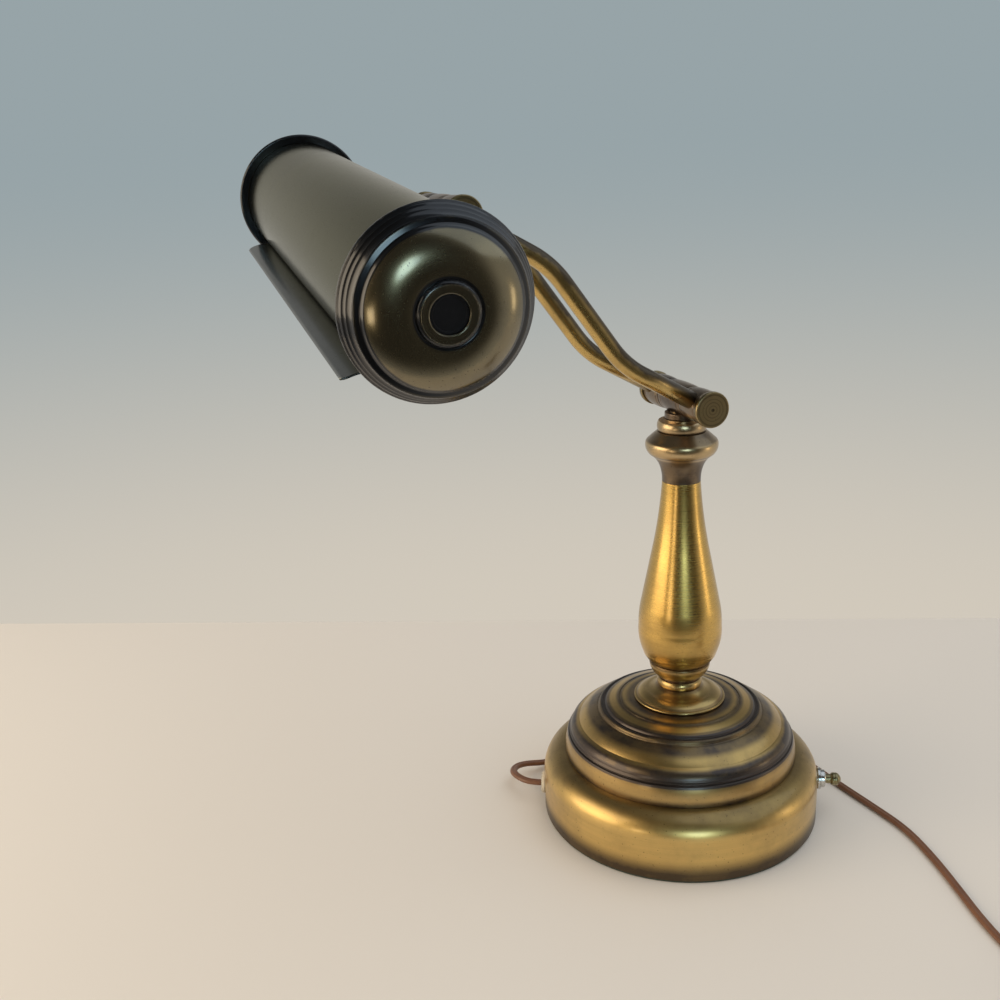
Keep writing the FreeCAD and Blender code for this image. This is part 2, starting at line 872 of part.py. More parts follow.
def knuckle_bolt(label):
    """Plain bolt through both barrels and the block."""
    length = 2 * (barrel_end + S.bolt_seat)
    body = new_body(label)
    sketch = new_sketch(body, "YZ_Plane")
    circle(sketch, S.bolt_radius)
    pad(body, sketch, length, both_ways=True)
    return body


def arm_rod(label, side):
    """S-shaped tube between the knuckles, drawn in its own plane with x outward and y up."""
    body = new_body(label)
    path = new_sketch(body, "XZ_Plane")
    turn = S.arm_middle_angle - S.arm_leg_angle
    tangent_length = S.arm_bend_radius * tangent(turn / 2)
    bow = S.arm_bend_radius * (1 - cosine(turn / 2))
    first = S.arm_leg - tangent_length
    bend_x, bend_y = S.arm_leg * leg_along, S.arm_leg * leg_up
    far_x, far_y = bend_x + S.arm_middle * middle_along, bend_y + S.arm_middle * middle_up
    last = S.arm_leg - S.rod_socket_floor
    outline(path, [
        (S.rod_socket_floor * leg_along, S.rod_socket_floor * leg_up),
        (first * leg_along, first * leg_up),
        (bend_x + tangent_length * middle_along, bend_y + tangent_length * middle_up, bow),
        (far_x - tangent_length * middle_along, far_y - tangent_length * middle_up),
        (far_x + tangent_length * leg_along, far_y + tangent_length * leg_up, -bow),
        (far_x + last * leg_along, far_y + last * leg_up),
    ], closed=False)
    doc.recompute()
    section = body.newObject("Sketcher::SketchObject", label + "_section")
    section.AttachmentSupport = [(path, "Edge1")]
    section.MapMode = "NormalToEdge"
    section.MapPathParameter = 0
    circle(section, S.rod_radius)
    circle(section, S.rod_bore_radius)
    doc.recompute()
    pipe = body.newObject("PartDesign::AdditivePipe", label + "_tube")
    pipe.Profile = section
    pipe.Spine = (path, [])
    return stand(body, x=side * rod_out, z=knuckle_height, rotation=Rotation(Vector(0, 0, 1), -90))


def shade_placement():
    """The shade's own frame: X along the shade, -Y outward from the upper bolt, Z up."""
    drop = Rotation(Vector(1, 0, 0), S.shade_drop_angle.value)
    heading = Rotation(Vector(0, 0, 1), S.shade_heading.value)
    tilt = Rotation(Vector(0, 1, 0), S.shade_tilt.value)
    return drop.multiply(heading).multiply(tilt)


def upper_block():
    """Block on the arm's upper bolt, with the neck that holds the shade's nipple."""
    body = new_body("upper_block")
    neck = new_sketch(body, "XZ_Plane", turn=S.shade_heading)
    circle(neck, S.neck_radius)
    pad(body, neck, S.neck_length)
    knuckle_bead(body, S.block_half)
    hole = new_sketch(body, "XZ_Plane", turn=S.shade_heading, shift=S.neck_length - S.neck_bore_depth)
    circle(hole, pipe_hole)
    pocket(body, hole, S.neck_bore_depth, backwards=True)
    bore_across(body, bolt_hole, 4 * S.block_half)
    turn = Rotation(Vector(1, 0, 0), S.shade_drop_angle.value)
    return stand(body, y=-arm_reach, z=knuckle_height + arm_rise, rotation=turn)


# --- shade -------------------------------------------------------------------------------


def stand_on_shade(body):
    """Place a body that is drawn about the middle of the shade's own axis."""
    ahead = S.shade_reach * cosine(S.shade_heading)
    return stand(
        body,
        x=S.shade_reach * sine(S.shade_heading),
        y=-arm_reach - ahead * cosine(S.shade_drop_angle),
        z=knuckle_height + arm_rise - ahead * sine(S.shade_drop_angle),
        rotation=shade_placement(),
    )


def polar(radius, angle):
    """A point of the shade's section on a YZ sketch: angle 0 is outward and 90 is up."""
    return -radius * cosine(angle), radius * sine(angle)


tube_inside = S.tube_radius - S.tube_wall
neck_face = S.shade_reach - S.neck_length
saddle_face = neck_face - S.swivel_gap
inner_saddle_face = tube_inside - S.inner_saddle_thickness - 1.3
bracket_face = inner_saddle_face - S.bracket_thickness
nipple_end = bracket_face - S.nipple_nut_height - S.swivel_gap - 1


def shade_tube():
    """Rolled tube, open underneath for the light, with the nipple's hole in its back."""
    length = S.shade_length + 2 * S.tube_end_overlap
    body = new_body("shade_tube")
    wall = new_sketch(body, "YZ_Plane")
    circle(wall, S.tube_radius)
    circle(wall, tube_inside)
    pad(body, wall, length, both_ways=True)
    far = 1.8 * S.tube_radius
    wedge = outline(new_sketch(body, "YZ_Plane"), [
        (0, 0),
        polar(far, S.slot_front_angle),
        polar(far, S.slot_rear_angle),
    ])
    pocket(body, wedge, length + 2 * S.tube_wall, both_ways=True)
    hole = new_sketch(body, "XZ_Plane")
    circle(hole, pipe_hole)
    pocket(body, hole, 2 * S.tube_radius)
    return stand_on_shade(body)


def visor():
    """Curved lip along the front edge of the light opening, lapped inside the tube's wall."""
    outer = tube_inside - S.cap_fit
    inner = outer - S.visor_wall
    lap_end = S.visor_root_angle - 1.2
    inner_end = lap_end - 1.4
    half_lap = (S.visor_lap_angle - lap_end) / 2
    half_inner = (S.visor_lap_angle - inner_end) / 2
    root_out = (S.tube_radius + 0.2) * cosine(lap_end)
    root_drop = -(S.tube_radius + 0.2) * sine(lap_end)
    body = new_body("visor")
    section = outline(new_sketch(body, "YZ_Plane"), [
        polar(outer, S.visor_lap_angle),
        (*polar(outer, lap_end), outer * (1 - cosine(half_lap))),
        (-root_out, -root_drop),
        (-S.visor_out, -S.visor_drop, 1.0),
        (-S.visor_out + 0.3, -S.visor_drop - S.visor_wall),
        (-root_out + 0.5, -root_drop - S.visor_wall, -1.0),
        polar(inner, inner_end),
        (*polar(inner, S.visor_lap_angle), -inner * (1 - cosine(half_inner))),
    ])
    half = S.shade_length / 2 - S.visor_end_gap
    pad(body, section, 2 * half, both_ways=True)
    corner = S.visor_corner
    for side in (NEAR, FAR):
        round_off = outline(new_sketch(body, "XY_Plane"), [
            (side * (half - corner), -S.visor_out),
            (side * half, corner - S.visor_out, side * corner * (1 - math.sqrt(0.5))),
            (side * (half + 1), corner - S.visor_out),
            (side * (half + 1), -S.visor_out - 1),
            (side * (half - corner), -S.visor_out - 1),
        ])
        pocket(body, round_off, 3 * S.visor_drop, both_ways=True)
    return stand_on_shade(body)


def end_cap(label, side):
    """Spun end cap: rolled rim, cove with two fine lines, bead, dome and a boss with a dish."""
    wall = S.cap_wall
    rim = S.cap_rim_radius
    seat = S.tube_radius + S.cap_fit
    boss_edge = S.cap_boss_height - 0.9
    dome_chord = S.cap_dome_radius - S.cap_boss_radius
    corners = [
        (-S.cap_rim_half, seat),
        (-S.cap_rim_half, rim - S.cap_rim_bow),
        (S.cap_rim_half, rim - S.cap_rim_bow, S.cap_rim_bow),
        (S.cap_cove_depth, S.cap_cove_radius),
        (S.cap_cove_depth + 0.5, S.cap_cove_radius, 0.15),
        (S.cap_line_depth, S.cap_line_radius, -0.15),
        (S.cap_line_depth + 0.5, S.cap_line_radius, 0.15),
        (S.cap_bead_depth, S.cap_bead_radius, -0.2),
        (S.cap_bead_depth + S.cap_bead_width, S.cap_bead_radius - 0.8, 0.45),
        (S.cap_groove_depth, S.cap_groove_radius),
        (S.cap_dome_depth, S.cap_dome_radius, -0.1),
        (S.cap_boss_depth, S.cap_boss_radius, dome_chord * 0.12),
        (S.cap_boss_depth - 0.2, S.cap_boss_radius - 0.5),
        (boss_edge, S.cap_boss_radius - 0.7),
        (S.cap_boss_height, S.cap_boss_radius - 3.0, 0.4),
        (S.cap_boss_height, S.cap_dish_radius + 0.5),
        (S.cap_boss_height - 0.4, S.cap_dish_radius),
        (S.cap_dish_depth, S.cap_dish_radius),
        (S.cap_dish_depth, 0),
        (S.cap_dish_depth - wall, 0),
        (S.cap_boss_depth - wall, S.cap_boss_radius - 0.5),
        (S.cap_dome_depth - 0.3, S.cap_dome_radius - wall, -dome_chord * 0.11),
        (S.cap_groove_depth - wall, S.cap_groove_radius - 0.6 * wall),
        (S.cap_bead_depth - wall, S.cap_bead_radius - 1.3 * wall),
        (S.tube_end_overlap + 0.2, seat - wall),
        (S.tube_end_overlap + 0.2, seat),
    ]
    plane = S.shade_length / 2
    placed = []
    for corner in corners:
        bow = [side * -corner[2]] if len(corner) > 2 else []
        placed.append((side * (plane + corner[0]), corner[1], *bow))
    return stand_on_shade(turned_across(label, placed))


def cap_button(label, side):
    """Dark disc that fills the floor of the cap's dish."""
    body = new_body(label)
    floor = side * (S.shade_length / 2 + S.cap_dish_depth)
    sketch = new_sketch(body, "YZ_Plane", shift=floor)
    circle(sketch, S.cap_dish_radius - S.cap_fit)
    pad(body, sketch, S.button_thickness, backwards=side < 0)
    return stand_on_shade(body)


def shade_nipple():
    """Threaded tube from the upper block's neck into the shade."""
    body = new_body("shade_nipple")
    start = S.shade_reach - (S.neck_length - S.neck_bore_depth)
    sketch = new_sketch(body, "XZ_Plane", shift=-start)
    circle(sketch, S.pipe_radius)
    circle(sketch, S.pipe_bore_radius)
    pad(body, sketch, start - nipple_end)
    return stand_on_shade(body)


def nipple_nut():
    body = new_body("nipple_nut")
    sketch = new_sketch(body, "XZ_Plane", shift=-(bracket_face - S.swivel_gap))
    hexagon(sketch, S.nut_flats)
    circle(sketch, pipe_hole)
    pad(body, sketch, S.nipple_nut_height)
    return stand_on_shade(body)


def outer_saddle():
    """Washer between the neck and the tube: flat on one side, hollowed to the tube on the other."""
    body = new_body("outer_saddle")
    sketch = new_sketch(body, "XZ_Plane", shift=-saddle_face)
    circle(sketch, S.saddle_radius)
    circle(sketch, pipe_hole)
    pad(body, sketch, saddle_face - S.tube_radius + 2)
    hollow = new_sketch(body, "YZ_Plane")
    circle(hollow, S.tube_radius + S.cap_fit)
    pocket(body, hollow, 3 * S.saddle_radius, both_ways=True)
    return stand_on_shade(body)


def inner_saddle():
    """Washer inside the tube: rounded to the wall on one side, flat for the bracket on the other."""
    body = new_body("inner_saddle")
    sketch = new_sketch(body, "XZ_Plane", shift=-inner_saddle_face)
    circle(sketch, S.saddle_radius)
    circle(sketch, pipe_hole)
    pad(body, sketch, S.tube_wall + S.inner_saddle_thickness + 2, backwards=True)
    outside = new_sketch(body, "YZ_Plane")
    circle(outside, tube_inside - S.cap_fit)
    circle(outside, S.tube_radius + 3 * S.saddle_radius)
    pocket(body, outside, 3 * S.saddle_radius, both_ways=True)
    return stand_on_shade(body)


socket_back = S.socket_length - S.bracket_length
socket_y = S.bulb_drop


def socket_bracket():
    """Bent strap from the nipple to the back of the lamp holder."""
    body = new_body("socket_bracket")
    strap = outline(new_sketch(body, "XY_Plane"), [
        (-S.saddle_radius, bracket_face),
        (socket_back, bracket_face),
        (socket_back, socket_y - S.bracket_width / 2),
        (socket_back + S.bracket_thickness, socket_y - S.bracket_width / 2),
        (socket_back + S.bracket_thickness, inner_saddle_face),
        (-S.saddle_radius, inner_saddle_face),
    ])
    pad(body, strap, S.bracket_width, both_ways=True)
    hole = new_sketch(body, "XZ_Plane", shift=-(inner_saddle_face + 1))
    circle(hole, pipe_hole)
    pocket(body, hole, S.bracket_thickness + 2, backwards=True)
    return stand_on_shade(body)


def turned_on_lamp(label, corners):
    """A piece turned about the lamp's own line, which runs along the shade behind its axis."""
    body = new_body(label)
    shifted = [(corner[0], corner[1] + socket_y, *corner[2:]) for corner in corners]
    sketch = outline(new_sketch(body, "XY_Plane"), shifted)
    line = sketch.addGeometry(Part.LineSegment(Vector(0, socket_y.value, 0), Vector(9, socket_y.value, 0)))
    sketch.setConstruction(line, True)
    sketch.addConstraint(Sketcher.Constraint("Horizontal", line))
    place_point(sketch, line, 1, 0, socket_y)
    constrain(sketch, "DistanceX", (line, 1, line, 2), 9)
    doc.recompute()
    revolve(body, sketch, "Axis0")
    return stand_on_shade(body)


def lamp_socket():
    """Phenolic lamp holder with a blind bore for the bulb's cap."""
    mouth = socket_back - S.socket_length
    floor = socket_back - S.socket_floor
    return turned_on_lamp("lamp_socket", [
        (mouth, S.socket_bore_radius),
        (floor, S.socket_bore_radius),
        (floor, 0),
        (socket_back, 0),
        (socket_back, S.socket_radius - 1.5),
        (socket_back - 1.5, S.socket_radius),
        (mouth, S.socket_radius),
    ])


bulb_cap_end = socket_back - S.socket_floor - 0.3
glass_start = bulb_cap_end - S.bulb_cap_length


def bulb_cap():
    """Thin screw cap of the bulb, with its end contact near the holder's floor."""
    radius = S.socket_bore_radius - 0.3
    wall = S.bulb_cap_wall
    return turned_on_lamp("bulb_cap", [
        (glass_start, radius - wall),
        (bulb_cap_end - 4, radius - wall),
        (bulb_cap_end - 2 - wall, 7 - wall),
        (bulb_cap_end - wall, 3),
        (bulb_cap_end - wall, 0),
        (bulb_cap_end, 0),
        (bulb_cap_end, 3),
        (bulb_cap_end - 2, 7),
        (bulb_cap_end - 4, radius),
        (glass_start, radius),
    ])


def bulb_glass():
    """Thin tubular glass of the bulb, with a short neck at the cap and a round end."""
    neck_end = glass_start - S.bulb_neck_length
    end = glass_start - S.bulb_length
    round_start = end + S.bulb_radius
    wall = S.bulb_wall
    quarter = 1 - math.sqrt(0.5)
    return turned_on_lamp("bulb_glass", [
        (glass_start, S.bulb_neck_radius - wall),
        (glass_start, S.bulb_neck_radius),
        (neck_end, S.bulb_neck_radius),
        (neck_end - S.bulb_shoulder, S.bulb_radius),
        (round_start, S.bulb_radius),
        (end, 0, S.bulb_radius * quarter),
        (end + wall, 0),
        (round_start, S.bulb_radius - wall, (wall - S.bulb_radius) * quarter),
        (neck_end - S.bulb_shoulder, S.bulb_radius - wall),
        (neck_end, S.bulb_neck_radius - wall),
    ])


# --- switch and cord bushing in the drum wall --------------------------------------------


def stand_in_wall(body, azimuth, height):
    """Turn a piece drawn along X to its azimuth round the drum."""
    return stand(body, z=height, rotation=Rotation(Vector(0, 0, 1), azimuth.value))


wall_face = S.base_radius + 0.05
bush_end = S.base_radius + S.switch_bush_reach
button_bore = S.button_stem_radius + S.button_clearance
button_inner_end = bush_end - S.button_depth


def switch_body():
    """Phenolic switch housing inside the drum, with a recess for the bush and the button's end."""
    recess = switch_front - 3.4
    floor = button_inner_end - S.button_travel - 0.4
    body = turned_across("switch_body", [
        (switch_back, 0),
        (floor, 0),
        (floor, button_bore),
        (recess, button_bore),
        (recess, S.switch_bush_radius + 0.05),
        (switch_front, S.switch_bush_radius + 0.05),
        (switch_front, S.switch_body_radius),
        (switch_back + 1, S.switch_body_radius),
        (switch_back, S.switch_body_radius - 1),
    ])
    return stand_in_wall(body, S.switch_azimuth, S.switch_height)


def switch_bush():
    """Threaded bush of the switch, with the shoulder that bears on the wall from inside."""
    shoulder = S.base_radius - S.drum_wall - 0.3
    body = turned_across("switch_bush", [
        (switch_front - 3.3, button_bore),
        (bush_end, button_bore),
        (bush_end, S.switch_bush_radius - 0.4),
        (bush_end - 0.4, S.switch_bush_radius),
        (shoulder, S.switch_bush_radius),
        (shoulder, S.switch_bush_radius + 2),
        (switch_front, S.switch_bush_radius + 2),
        (switch_front, S.switch_bush_radius),
        (switch_front - 3.3, S.switch_bush_radius),
    ])
    return stand_in_wall(body, S.switch_azimuth, S.switch_height)


def switch_nut():
    """Round nut with a smaller stepped collar outside the drum."""
    bore = S.switch_bush_radius + 0.05
    step = wall_face + S.switch_nut_thickness
    front = step + S.switch_collar_thickness
    body = turned_across("switch_nut", [
        (wall_face, bore),
        (front, bore),
        (front, S.switch_collar_radius - 0.5),
        (front - 0.5, S.switch_collar_radius),
        (step, S.switch_collar_radius),
        (step, S.switch_nut_radius - 0.4),
        (step - 0.4, S.switch_nut_radius),
        (wall_face, S.switch_nut_radius),
    ])
    return stand_in_wall(body, S.switch_azimuth, S.switch_height)


def switch_button():
    """Push button: a plain stem with a ball on its end."""
    centre = S.base_radius + S.button_reach
    ball = S.button_ball_radius
    start = centre - root(ball * ball - S.button_stem_radius * S.button_stem_radius)
    tip = centre + ball
    body = turned_across("switch_button", [
        (button_inner_end, 0),
        (tip, 0),
        (centre, ball, ball * (1 - math.sqrt(0.5))),
        (start, S.button_stem_radius, 0.49),
        (button_inner_end, S.button_stem_radius),
    ])
    return stand_in_wall(body, S.switch_azimuth, S.switch_height)


def cord_bushing():
    """Pale insulating bushing that grips the cord in the drum's wall."""
    flange = wall_face + S.bushing_flange_thickness
    tail = S.base_radius - S.drum_wall - S.bushing_tail
    body = turned_across("cord_bushing", [
        (tail, 0),
        (flange, 0),
        (flange, S.bushing_flange_radius - 1),
        (flange - 1, S.bushing_flange_radius, 0.29),
        (wall_face, S.bushing_flange_radius),
        (wall_face, S.bushing_neck_radius),
        (tail, S.bushing_neck_radius),
    ])
    return stand_in_wall(body, S.bushing_azimuth, S.bushing_height)


# --- cord, coil and plug -----------------------------------------------------------------

lie = DIMENSIONS["cord_radius"]
bushing_turn = math.radians(DIMENSIONS["bushing_azimuth"])
cord_start_reach = wall_face.value + DIMENSIONS["bushing_flange_thickness"]
cord_start = (
    cord_start_reach * math.cos(bushing_turn),
    cord_start_reach * math.sin(bushing_turn),
    DIMENSIONS["bushing_height"],
)
CORD_ROUTE = [
    cord_start,
    (-37.1, -82.7, 12.1),
    (-41.3, -86.7, 12.2),
    (-47.3, -89.2, 12.0),
    (-54.1, -89.5, 11.2),
    (-60.5, -86.6, 10.0),
    (-65.0, -81.1, 8.6),
    (-67.0, -73.8, 7.0),
    (-67.4, -65.2, 5.2),
    (-70.4, -54.6, 3.0),
    (-84.2, -38.2, lie),
    (-92.0, -12.6, lie),
    (-91.4, 16.8, lie),
    (-81.6, 46.0, lie),
    (-63.0, 70.2, lie),
    (-38.0, 87.4, lie),
    (-8.6, 96.6, lie),
    (22.0, 100.4, lie),
    (50.8, 104.6, lie),
    (78.6, 108.2, lie),
    (107.0, 104.4, lie),
    (134.0, 98.4, lie),
    (159.4, 92.2, lie),
    (184.4, 88.8, lie),
    (206.0, 88.6, lie),
    (224.4, 89.8, 3.4),
]
TAIL_ROUTE = [
    (238.0, 91.2, 3.4),
    (250.0, 98.0, lie),
    (260.0, 110.0, lie),
    (264.0, 124.0, 3.6),
    (265.0, 138.0, 7.5),
    (265.0, 146.0, 7.5),
]


def cord_tube(label, route):
    """Plain tube along straight runs joined by tangent arcs as large as the runs allow."""
    points = [Vector(*point) for point in route]
    edges = []
    radii = []
    begin = points[0]
    for before, corner, after in zip(points, points[1:], points[2:]):
        inward = (before - corner).normalize()
        outward = (after - corner).normalize()
        half_turn = (math.pi - inward.getAngle(outward)) / 2
        reach = 0.45 * min((before - corner).Length, (after - corner).Length)
        radius = reach / math.tan(half_turn)
        radii.append(round(radius, 1))
        enter = corner + inward * reach
        leave = corner + outward * reach
        middle = (inward + outward).normalize()
        centre = corner + middle * math.hypot(radius, reach)
        edges.append(Part.LineSegment(begin, enter).toShape())
        edges.append(Part.Arc(enter, centre - middle * radius, leave).toShape())
        begin = leave
    edges.append(Part.LineSegment(begin, points[-1]).toShape())
    path = Part.Wire(edges)
    section = Part.Wire(Part.makeCircle(lie, points[0], points[1] - points[0]))
    solid = path.makePipeShell([section], True, True)
    feature = doc.addObject("Part::Feature", label)
    feature.Label = label
    feature.Shape = solid
    expected = math.pi * lie * lie * path.Length
    if abs(solid.Volume / expected - 1) > 0.01:
        raise ValueError("%s: volume %.0f, expected %.0f" % (label, solid.Volume, expected))
    print(label, "length %.0f" % path.Length, "radii", radii)
    return feature


def cord_coil():
    """The rest of the cord, wound in one flat hank."""
    body = new_body("cord_coil")
    sketch = new_sketch(body, "XZ_Plane")
    circle(sketch, S.coil_bundle_radius, S.coil_radius, 0)
    revolve(body, sketch)
    return stand(body, S.coil_centre_x, S.coil_centre_y, S.coil_bundle_radius + S.tie_wall)


def coil_tie():
    """Band round the hank's bundle."""
    body = new_body("coil_tie")
    sketch = new_sketch(body, "XZ_Plane")
    circle(sketch, S.coil_bundle_radius + S.cap_fit, S.coil_radius, 0)
    circle(sketch, S.coil_bundle_radius + S.tie_wall, S.coil_radius, 0)
    band = revolve(body, sketch)
    angle = S.tie_width / S.coil_radius * (180 / math.pi)
    band.Angle = angle.value
    band.setExpression("Angle", angle.text)
    return stand(body, S.coil_centre_x, S.coil_centre_y, S.coil_bundle_radius + S.tie_wall)




def stand_at_tail(body):
    """Place a piece of the plug, drawn with its blades towards -Y, at the end of the cord."""
    return stand(body, *TAIL_ROUTE[-1][:2], S.plug_height / 2, rotation=Rotation(Vector(0, 0, 1), 180))


def plug_body():
    """Moulded plug, lying flat, wider at the blades than at the cord."""
    body = new_body("plug_body")
    half = S.plug_width / 2
    rear = S.plug_width / 4
    shape = outline(new_sketch(body, "XY_Plane"), [
        (-rear, 0),
        (-half, -S.plug_length * 0.45),
        (-half, -S.plug_length),
        (half, -S.plug_length),
        (half, -S.plug_length * 0.45),
        (rear, 0),
    ])
    pad(body, shape, S.plug_height, both_ways=True)
    doc.recompute()
    block = body.Tip
    top_and_bottom = [
        "Face%d" % number
        for number, face in enumerate(block.Shape.Faces, start=1)
        if abs(face.CenterOfMass.z) > 0.49 * S.plug_height.value
    ]
    fillet = body.newObject("PartDesign::Fillet", "plug_edges")
    fillet.Base = (block, top_and_bottom)
    fillet.Radius = S.plug_edge.value
    fillet.setExpression("Radius", S.plug_edge.text)
    return stand_at_tail(body)


def plug_blade(label, side):
    body = new_body(label)
    sketch = new_sketch(body, "XZ_Plane", shift=S.plug_length)
    middle = side * S.blade_spacing / 2
    outline(sketch, [
        (middle - S.blade_thickness / 2, -S.blade_width / 2),
        (middle + S.blade_thickness / 2, -S.blade_width / 2),
        (middle + S.blade_thickness / 2, S.blade_width / 2),
        (middle - S.blade_thickness / 2, S.blade_width / 2),
    ])
    pad(body, sketch, S.blade_length)
    return stand_at_tail(body)


# --- the whole lamp ----------------------------------------------------------------------

def knuckle(name, at_lower_end):
    """The arm's pieces at one knuckle: two barrels, two knobs and the bolt."""
    height = knuckle_height if at_lower_end else knuckle_height + arm_rise
    reach = size(0) if at_lower_end else -arm_reach
    pieces = []
    for side_name, side in (("near", NEAR), ("far", FAR)):
        turn, barrel = knuckle_barrel("%s_barrel_%s" % (name, side_name), side, at_lower_end)
        pieces.append(place_barrel(turn, barrel, at_lower_end))
        pieces.append(stand(knuckle_knob("%s_knob_%s" % (name, side_name), side), y=reach, z=height))
    pieces.append(stand(knuckle_bolt("%s_bolt" % name), y=reach, z=height))
    return pieces


def build():
    pieces = [
        base_felt(),
        base_drum(),
        base_weight(),
        base_dome(),
        saucer(),
        column_foot_turning(),
        column_vase(),
        column_cup(),
        column_ring(),
        center_pipe(),
        pipe_washer(),
        pipe_nut(),
        swivel_washer(),
        swivel_collar(),
        lower_block(),
        upper_block(),
        arm_rod("arm_rod_near", NEAR),
        arm_rod("arm_rod_far", FAR),
        shade_nipple(),
        nipple_nut(),
        outer_saddle(),
        inner_saddle(),
        shade_tube(),
        visor(),
        end_cap("end_cap_near", NEAR),
        end_cap("end_cap_far", FAR),
        cap_button("cap_button_near", NEAR),
        cap_button("cap_button_far", FAR),
        socket_bracket(),
        lamp_socket(),
        bulb_cap(),
        bulb_glass(),
        switch_body(),
        switch_bush(),
        switch_nut(),
        switch_button(),
        cord_bushing(),
        cord_tube("power_cord", CORD_ROUTE),
        cord_coil(),
        coil_tie(),
        cord_tube("power_cord_tail", TAIL_ROUTE),
        plug_body(),
        plug_blade("plug_blade_left", FAR),
        plug_blade("plug_blade_right", NEAR),
    ]
    pieces += knuckle("lower", at_lower_end=True)
    pieces += knuckle("upper", at_lower_end=False)
    return pieces


lamp = build()
doc.recompute()

for item in doc.Objects:
    if "Invalid" in item.State or "Error" in item.State:
        raise ValueError("%s did not recompute: %s" % (item.Label, item.State))

os.makedirs("parts", exist_ok=True)
for piece in lamp:
    if piece.Shape.isNull() or not piece.Shape.isValid():
        raise ValueError("%s has no valid shape" % piece.Label)
    piece.Shape.exportStep("parts/%s.step" % piece.Label)
print(len(lamp), "parts written")
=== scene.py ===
# %% [markdown]
# # A piano lamp
# A heavy spun-brass base, a turned column, two S-shaped rods and a long tube shade.
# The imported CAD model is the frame: it says where each piece stands and which body it moves with.
# Everything below is drawn in the same frame, in metres, with the table at height zero.

# %% Load the frame
import math

import bmesh
import bpy
from mathutils import Matrix, Vector


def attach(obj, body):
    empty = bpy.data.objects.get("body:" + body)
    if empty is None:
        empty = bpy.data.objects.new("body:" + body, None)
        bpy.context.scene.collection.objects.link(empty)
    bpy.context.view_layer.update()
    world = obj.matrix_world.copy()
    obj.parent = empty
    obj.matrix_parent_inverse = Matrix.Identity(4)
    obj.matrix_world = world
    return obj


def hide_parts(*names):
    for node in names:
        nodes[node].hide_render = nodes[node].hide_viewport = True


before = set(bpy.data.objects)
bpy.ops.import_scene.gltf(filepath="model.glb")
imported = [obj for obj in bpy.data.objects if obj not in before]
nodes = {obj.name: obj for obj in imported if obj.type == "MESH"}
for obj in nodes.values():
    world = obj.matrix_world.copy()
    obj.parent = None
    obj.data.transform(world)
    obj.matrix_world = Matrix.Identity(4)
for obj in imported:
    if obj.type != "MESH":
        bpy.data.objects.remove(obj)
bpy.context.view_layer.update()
scene = bpy.context.scene
MM = 0.001

# %% [markdown]
# ## The camera
# The lamp is seen from its lower end cap's side, a little above the shade's height.
# The camera is given as a person would set up a tripod: where it stands, which way it is turned,
# how far it looks down, and how much it leans.

# %% Camera
CAMERA_TURN = 62.4                      # degrees round the column
CAMERA_DISTANCE = 613.9 * MM
CAMERA_HEIGHT = 389.7 * MM
LOOKS_LEFT = 9.684                      # degrees from the column's axis
LOOKS_DOWN = 17.320
LEANS = -2.332
LENS = 40.077                           # on a 36 mm wide sensor


def camera_axes():
    """The camera's right, up and forward directions before it is turned round the column."""
    left, down, lean = (math.radians(angle) for angle in (LOOKS_LEFT, LOOKS_DOWN, LEANS))
    forward = Vector((-math.sin(left) * math.cos(down), math.cos(left) * math.cos(down), -math.sin(down)))
    right = Vector((math.cos(left), math.sin(left), 0))
    up = right.cross(forward)
    leaned_right = right * math.cos(lean) + up * math.sin(lean)
    leaned_up = up * math.cos(lean) - right * math.sin(lean)
    return leaned_right, leaned_up, forward


right, up, forward = camera_axes()
camera_data = bpy.data.cameras.new("camera")
camera_data.lens = LENS
camera_data.sensor_width = 36
camera_data.clip_start = 0.01
camera = bpy.data.objects.new("camera", camera_data)
scene.collection.objects.link(camera)
turn = Matrix.Rotation(math.radians(CAMERA_TURN), 4, "Z")
stand = Matrix.Translation((0, -CAMERA_DISTANCE, CAMERA_HEIGHT))
facing = Matrix((right, up, -forward)).transposed().to_4x4()
camera.matrix_world = turn @ stand @ facing
scene.camera = camera
print("camera at", tuple(round(value, 3) for value in camera.matrix_world.translation))

# %% [markdown]
# ## The cord
# A cord is a fixed length of something flexible, so its line comes first. The curve is a NURBS
# spline of order 3: it runs inside its control points, as a soft cord cuts its corners.
# What isn't used is wound into a coil, whose turns are more points of the same spline.

# %% Cord route
LIE = 2.2                               # the height of a lying cord's middle, in millimetres
CORD_ROUTE = [
    (-34.5, -77.4, 12.0), (-37.1, -82.7, 12.1), (-41.3, -86.7, 12.2), (-47.3, -89.2, 12.0),
    (-54.1, -89.5, 11.2), (-60.5, -86.6, 10.0), (-65.0, -81.1, 8.6), (-67.0, -73.8, 7.0),
    (-67.4, -65.2, 5.2), (-70.4, -54.6, 3.0), (-84.2, -38.2, LIE), (-92.0, -12.6, LIE),
    (-91.4, 16.8, LIE), (-81.6, 46.0, LIE), (-63.0, 70.2, LIE), (-38.0, 87.4, LIE),
    (-8.6, 96.6, LIE), (22.0, 100.4, LIE), (50.8, 104.6, LIE), (78.6, 108.2, LIE),
    (107.0, 104.4, LIE), (134.0, 98.4, LIE), (159.4, 92.2, LIE), (184.4, 88.8, LIE),
    (206.0, 88.6, LIE),
]
COIL_CENTRE = (226.0, 112.0, 8.3)
COIL_RADIUS, BUNDLE_RADIUS = 24.0, 5.75
TURNS, POINTS_PER_TURN, SHIFTING_POINTS = 8, 16, 4
TAIL_ROUTE = [
    (227.0, 81.6, 7.4), (242.6, 83.4, 4.4), (255.0, 93.0, LIE), (262.0, 108.0, LIE),
    (264.0, 124.0, 3.6), (265.0, 138.0, 7.5), (265.0, 146.0, 7.5),
]


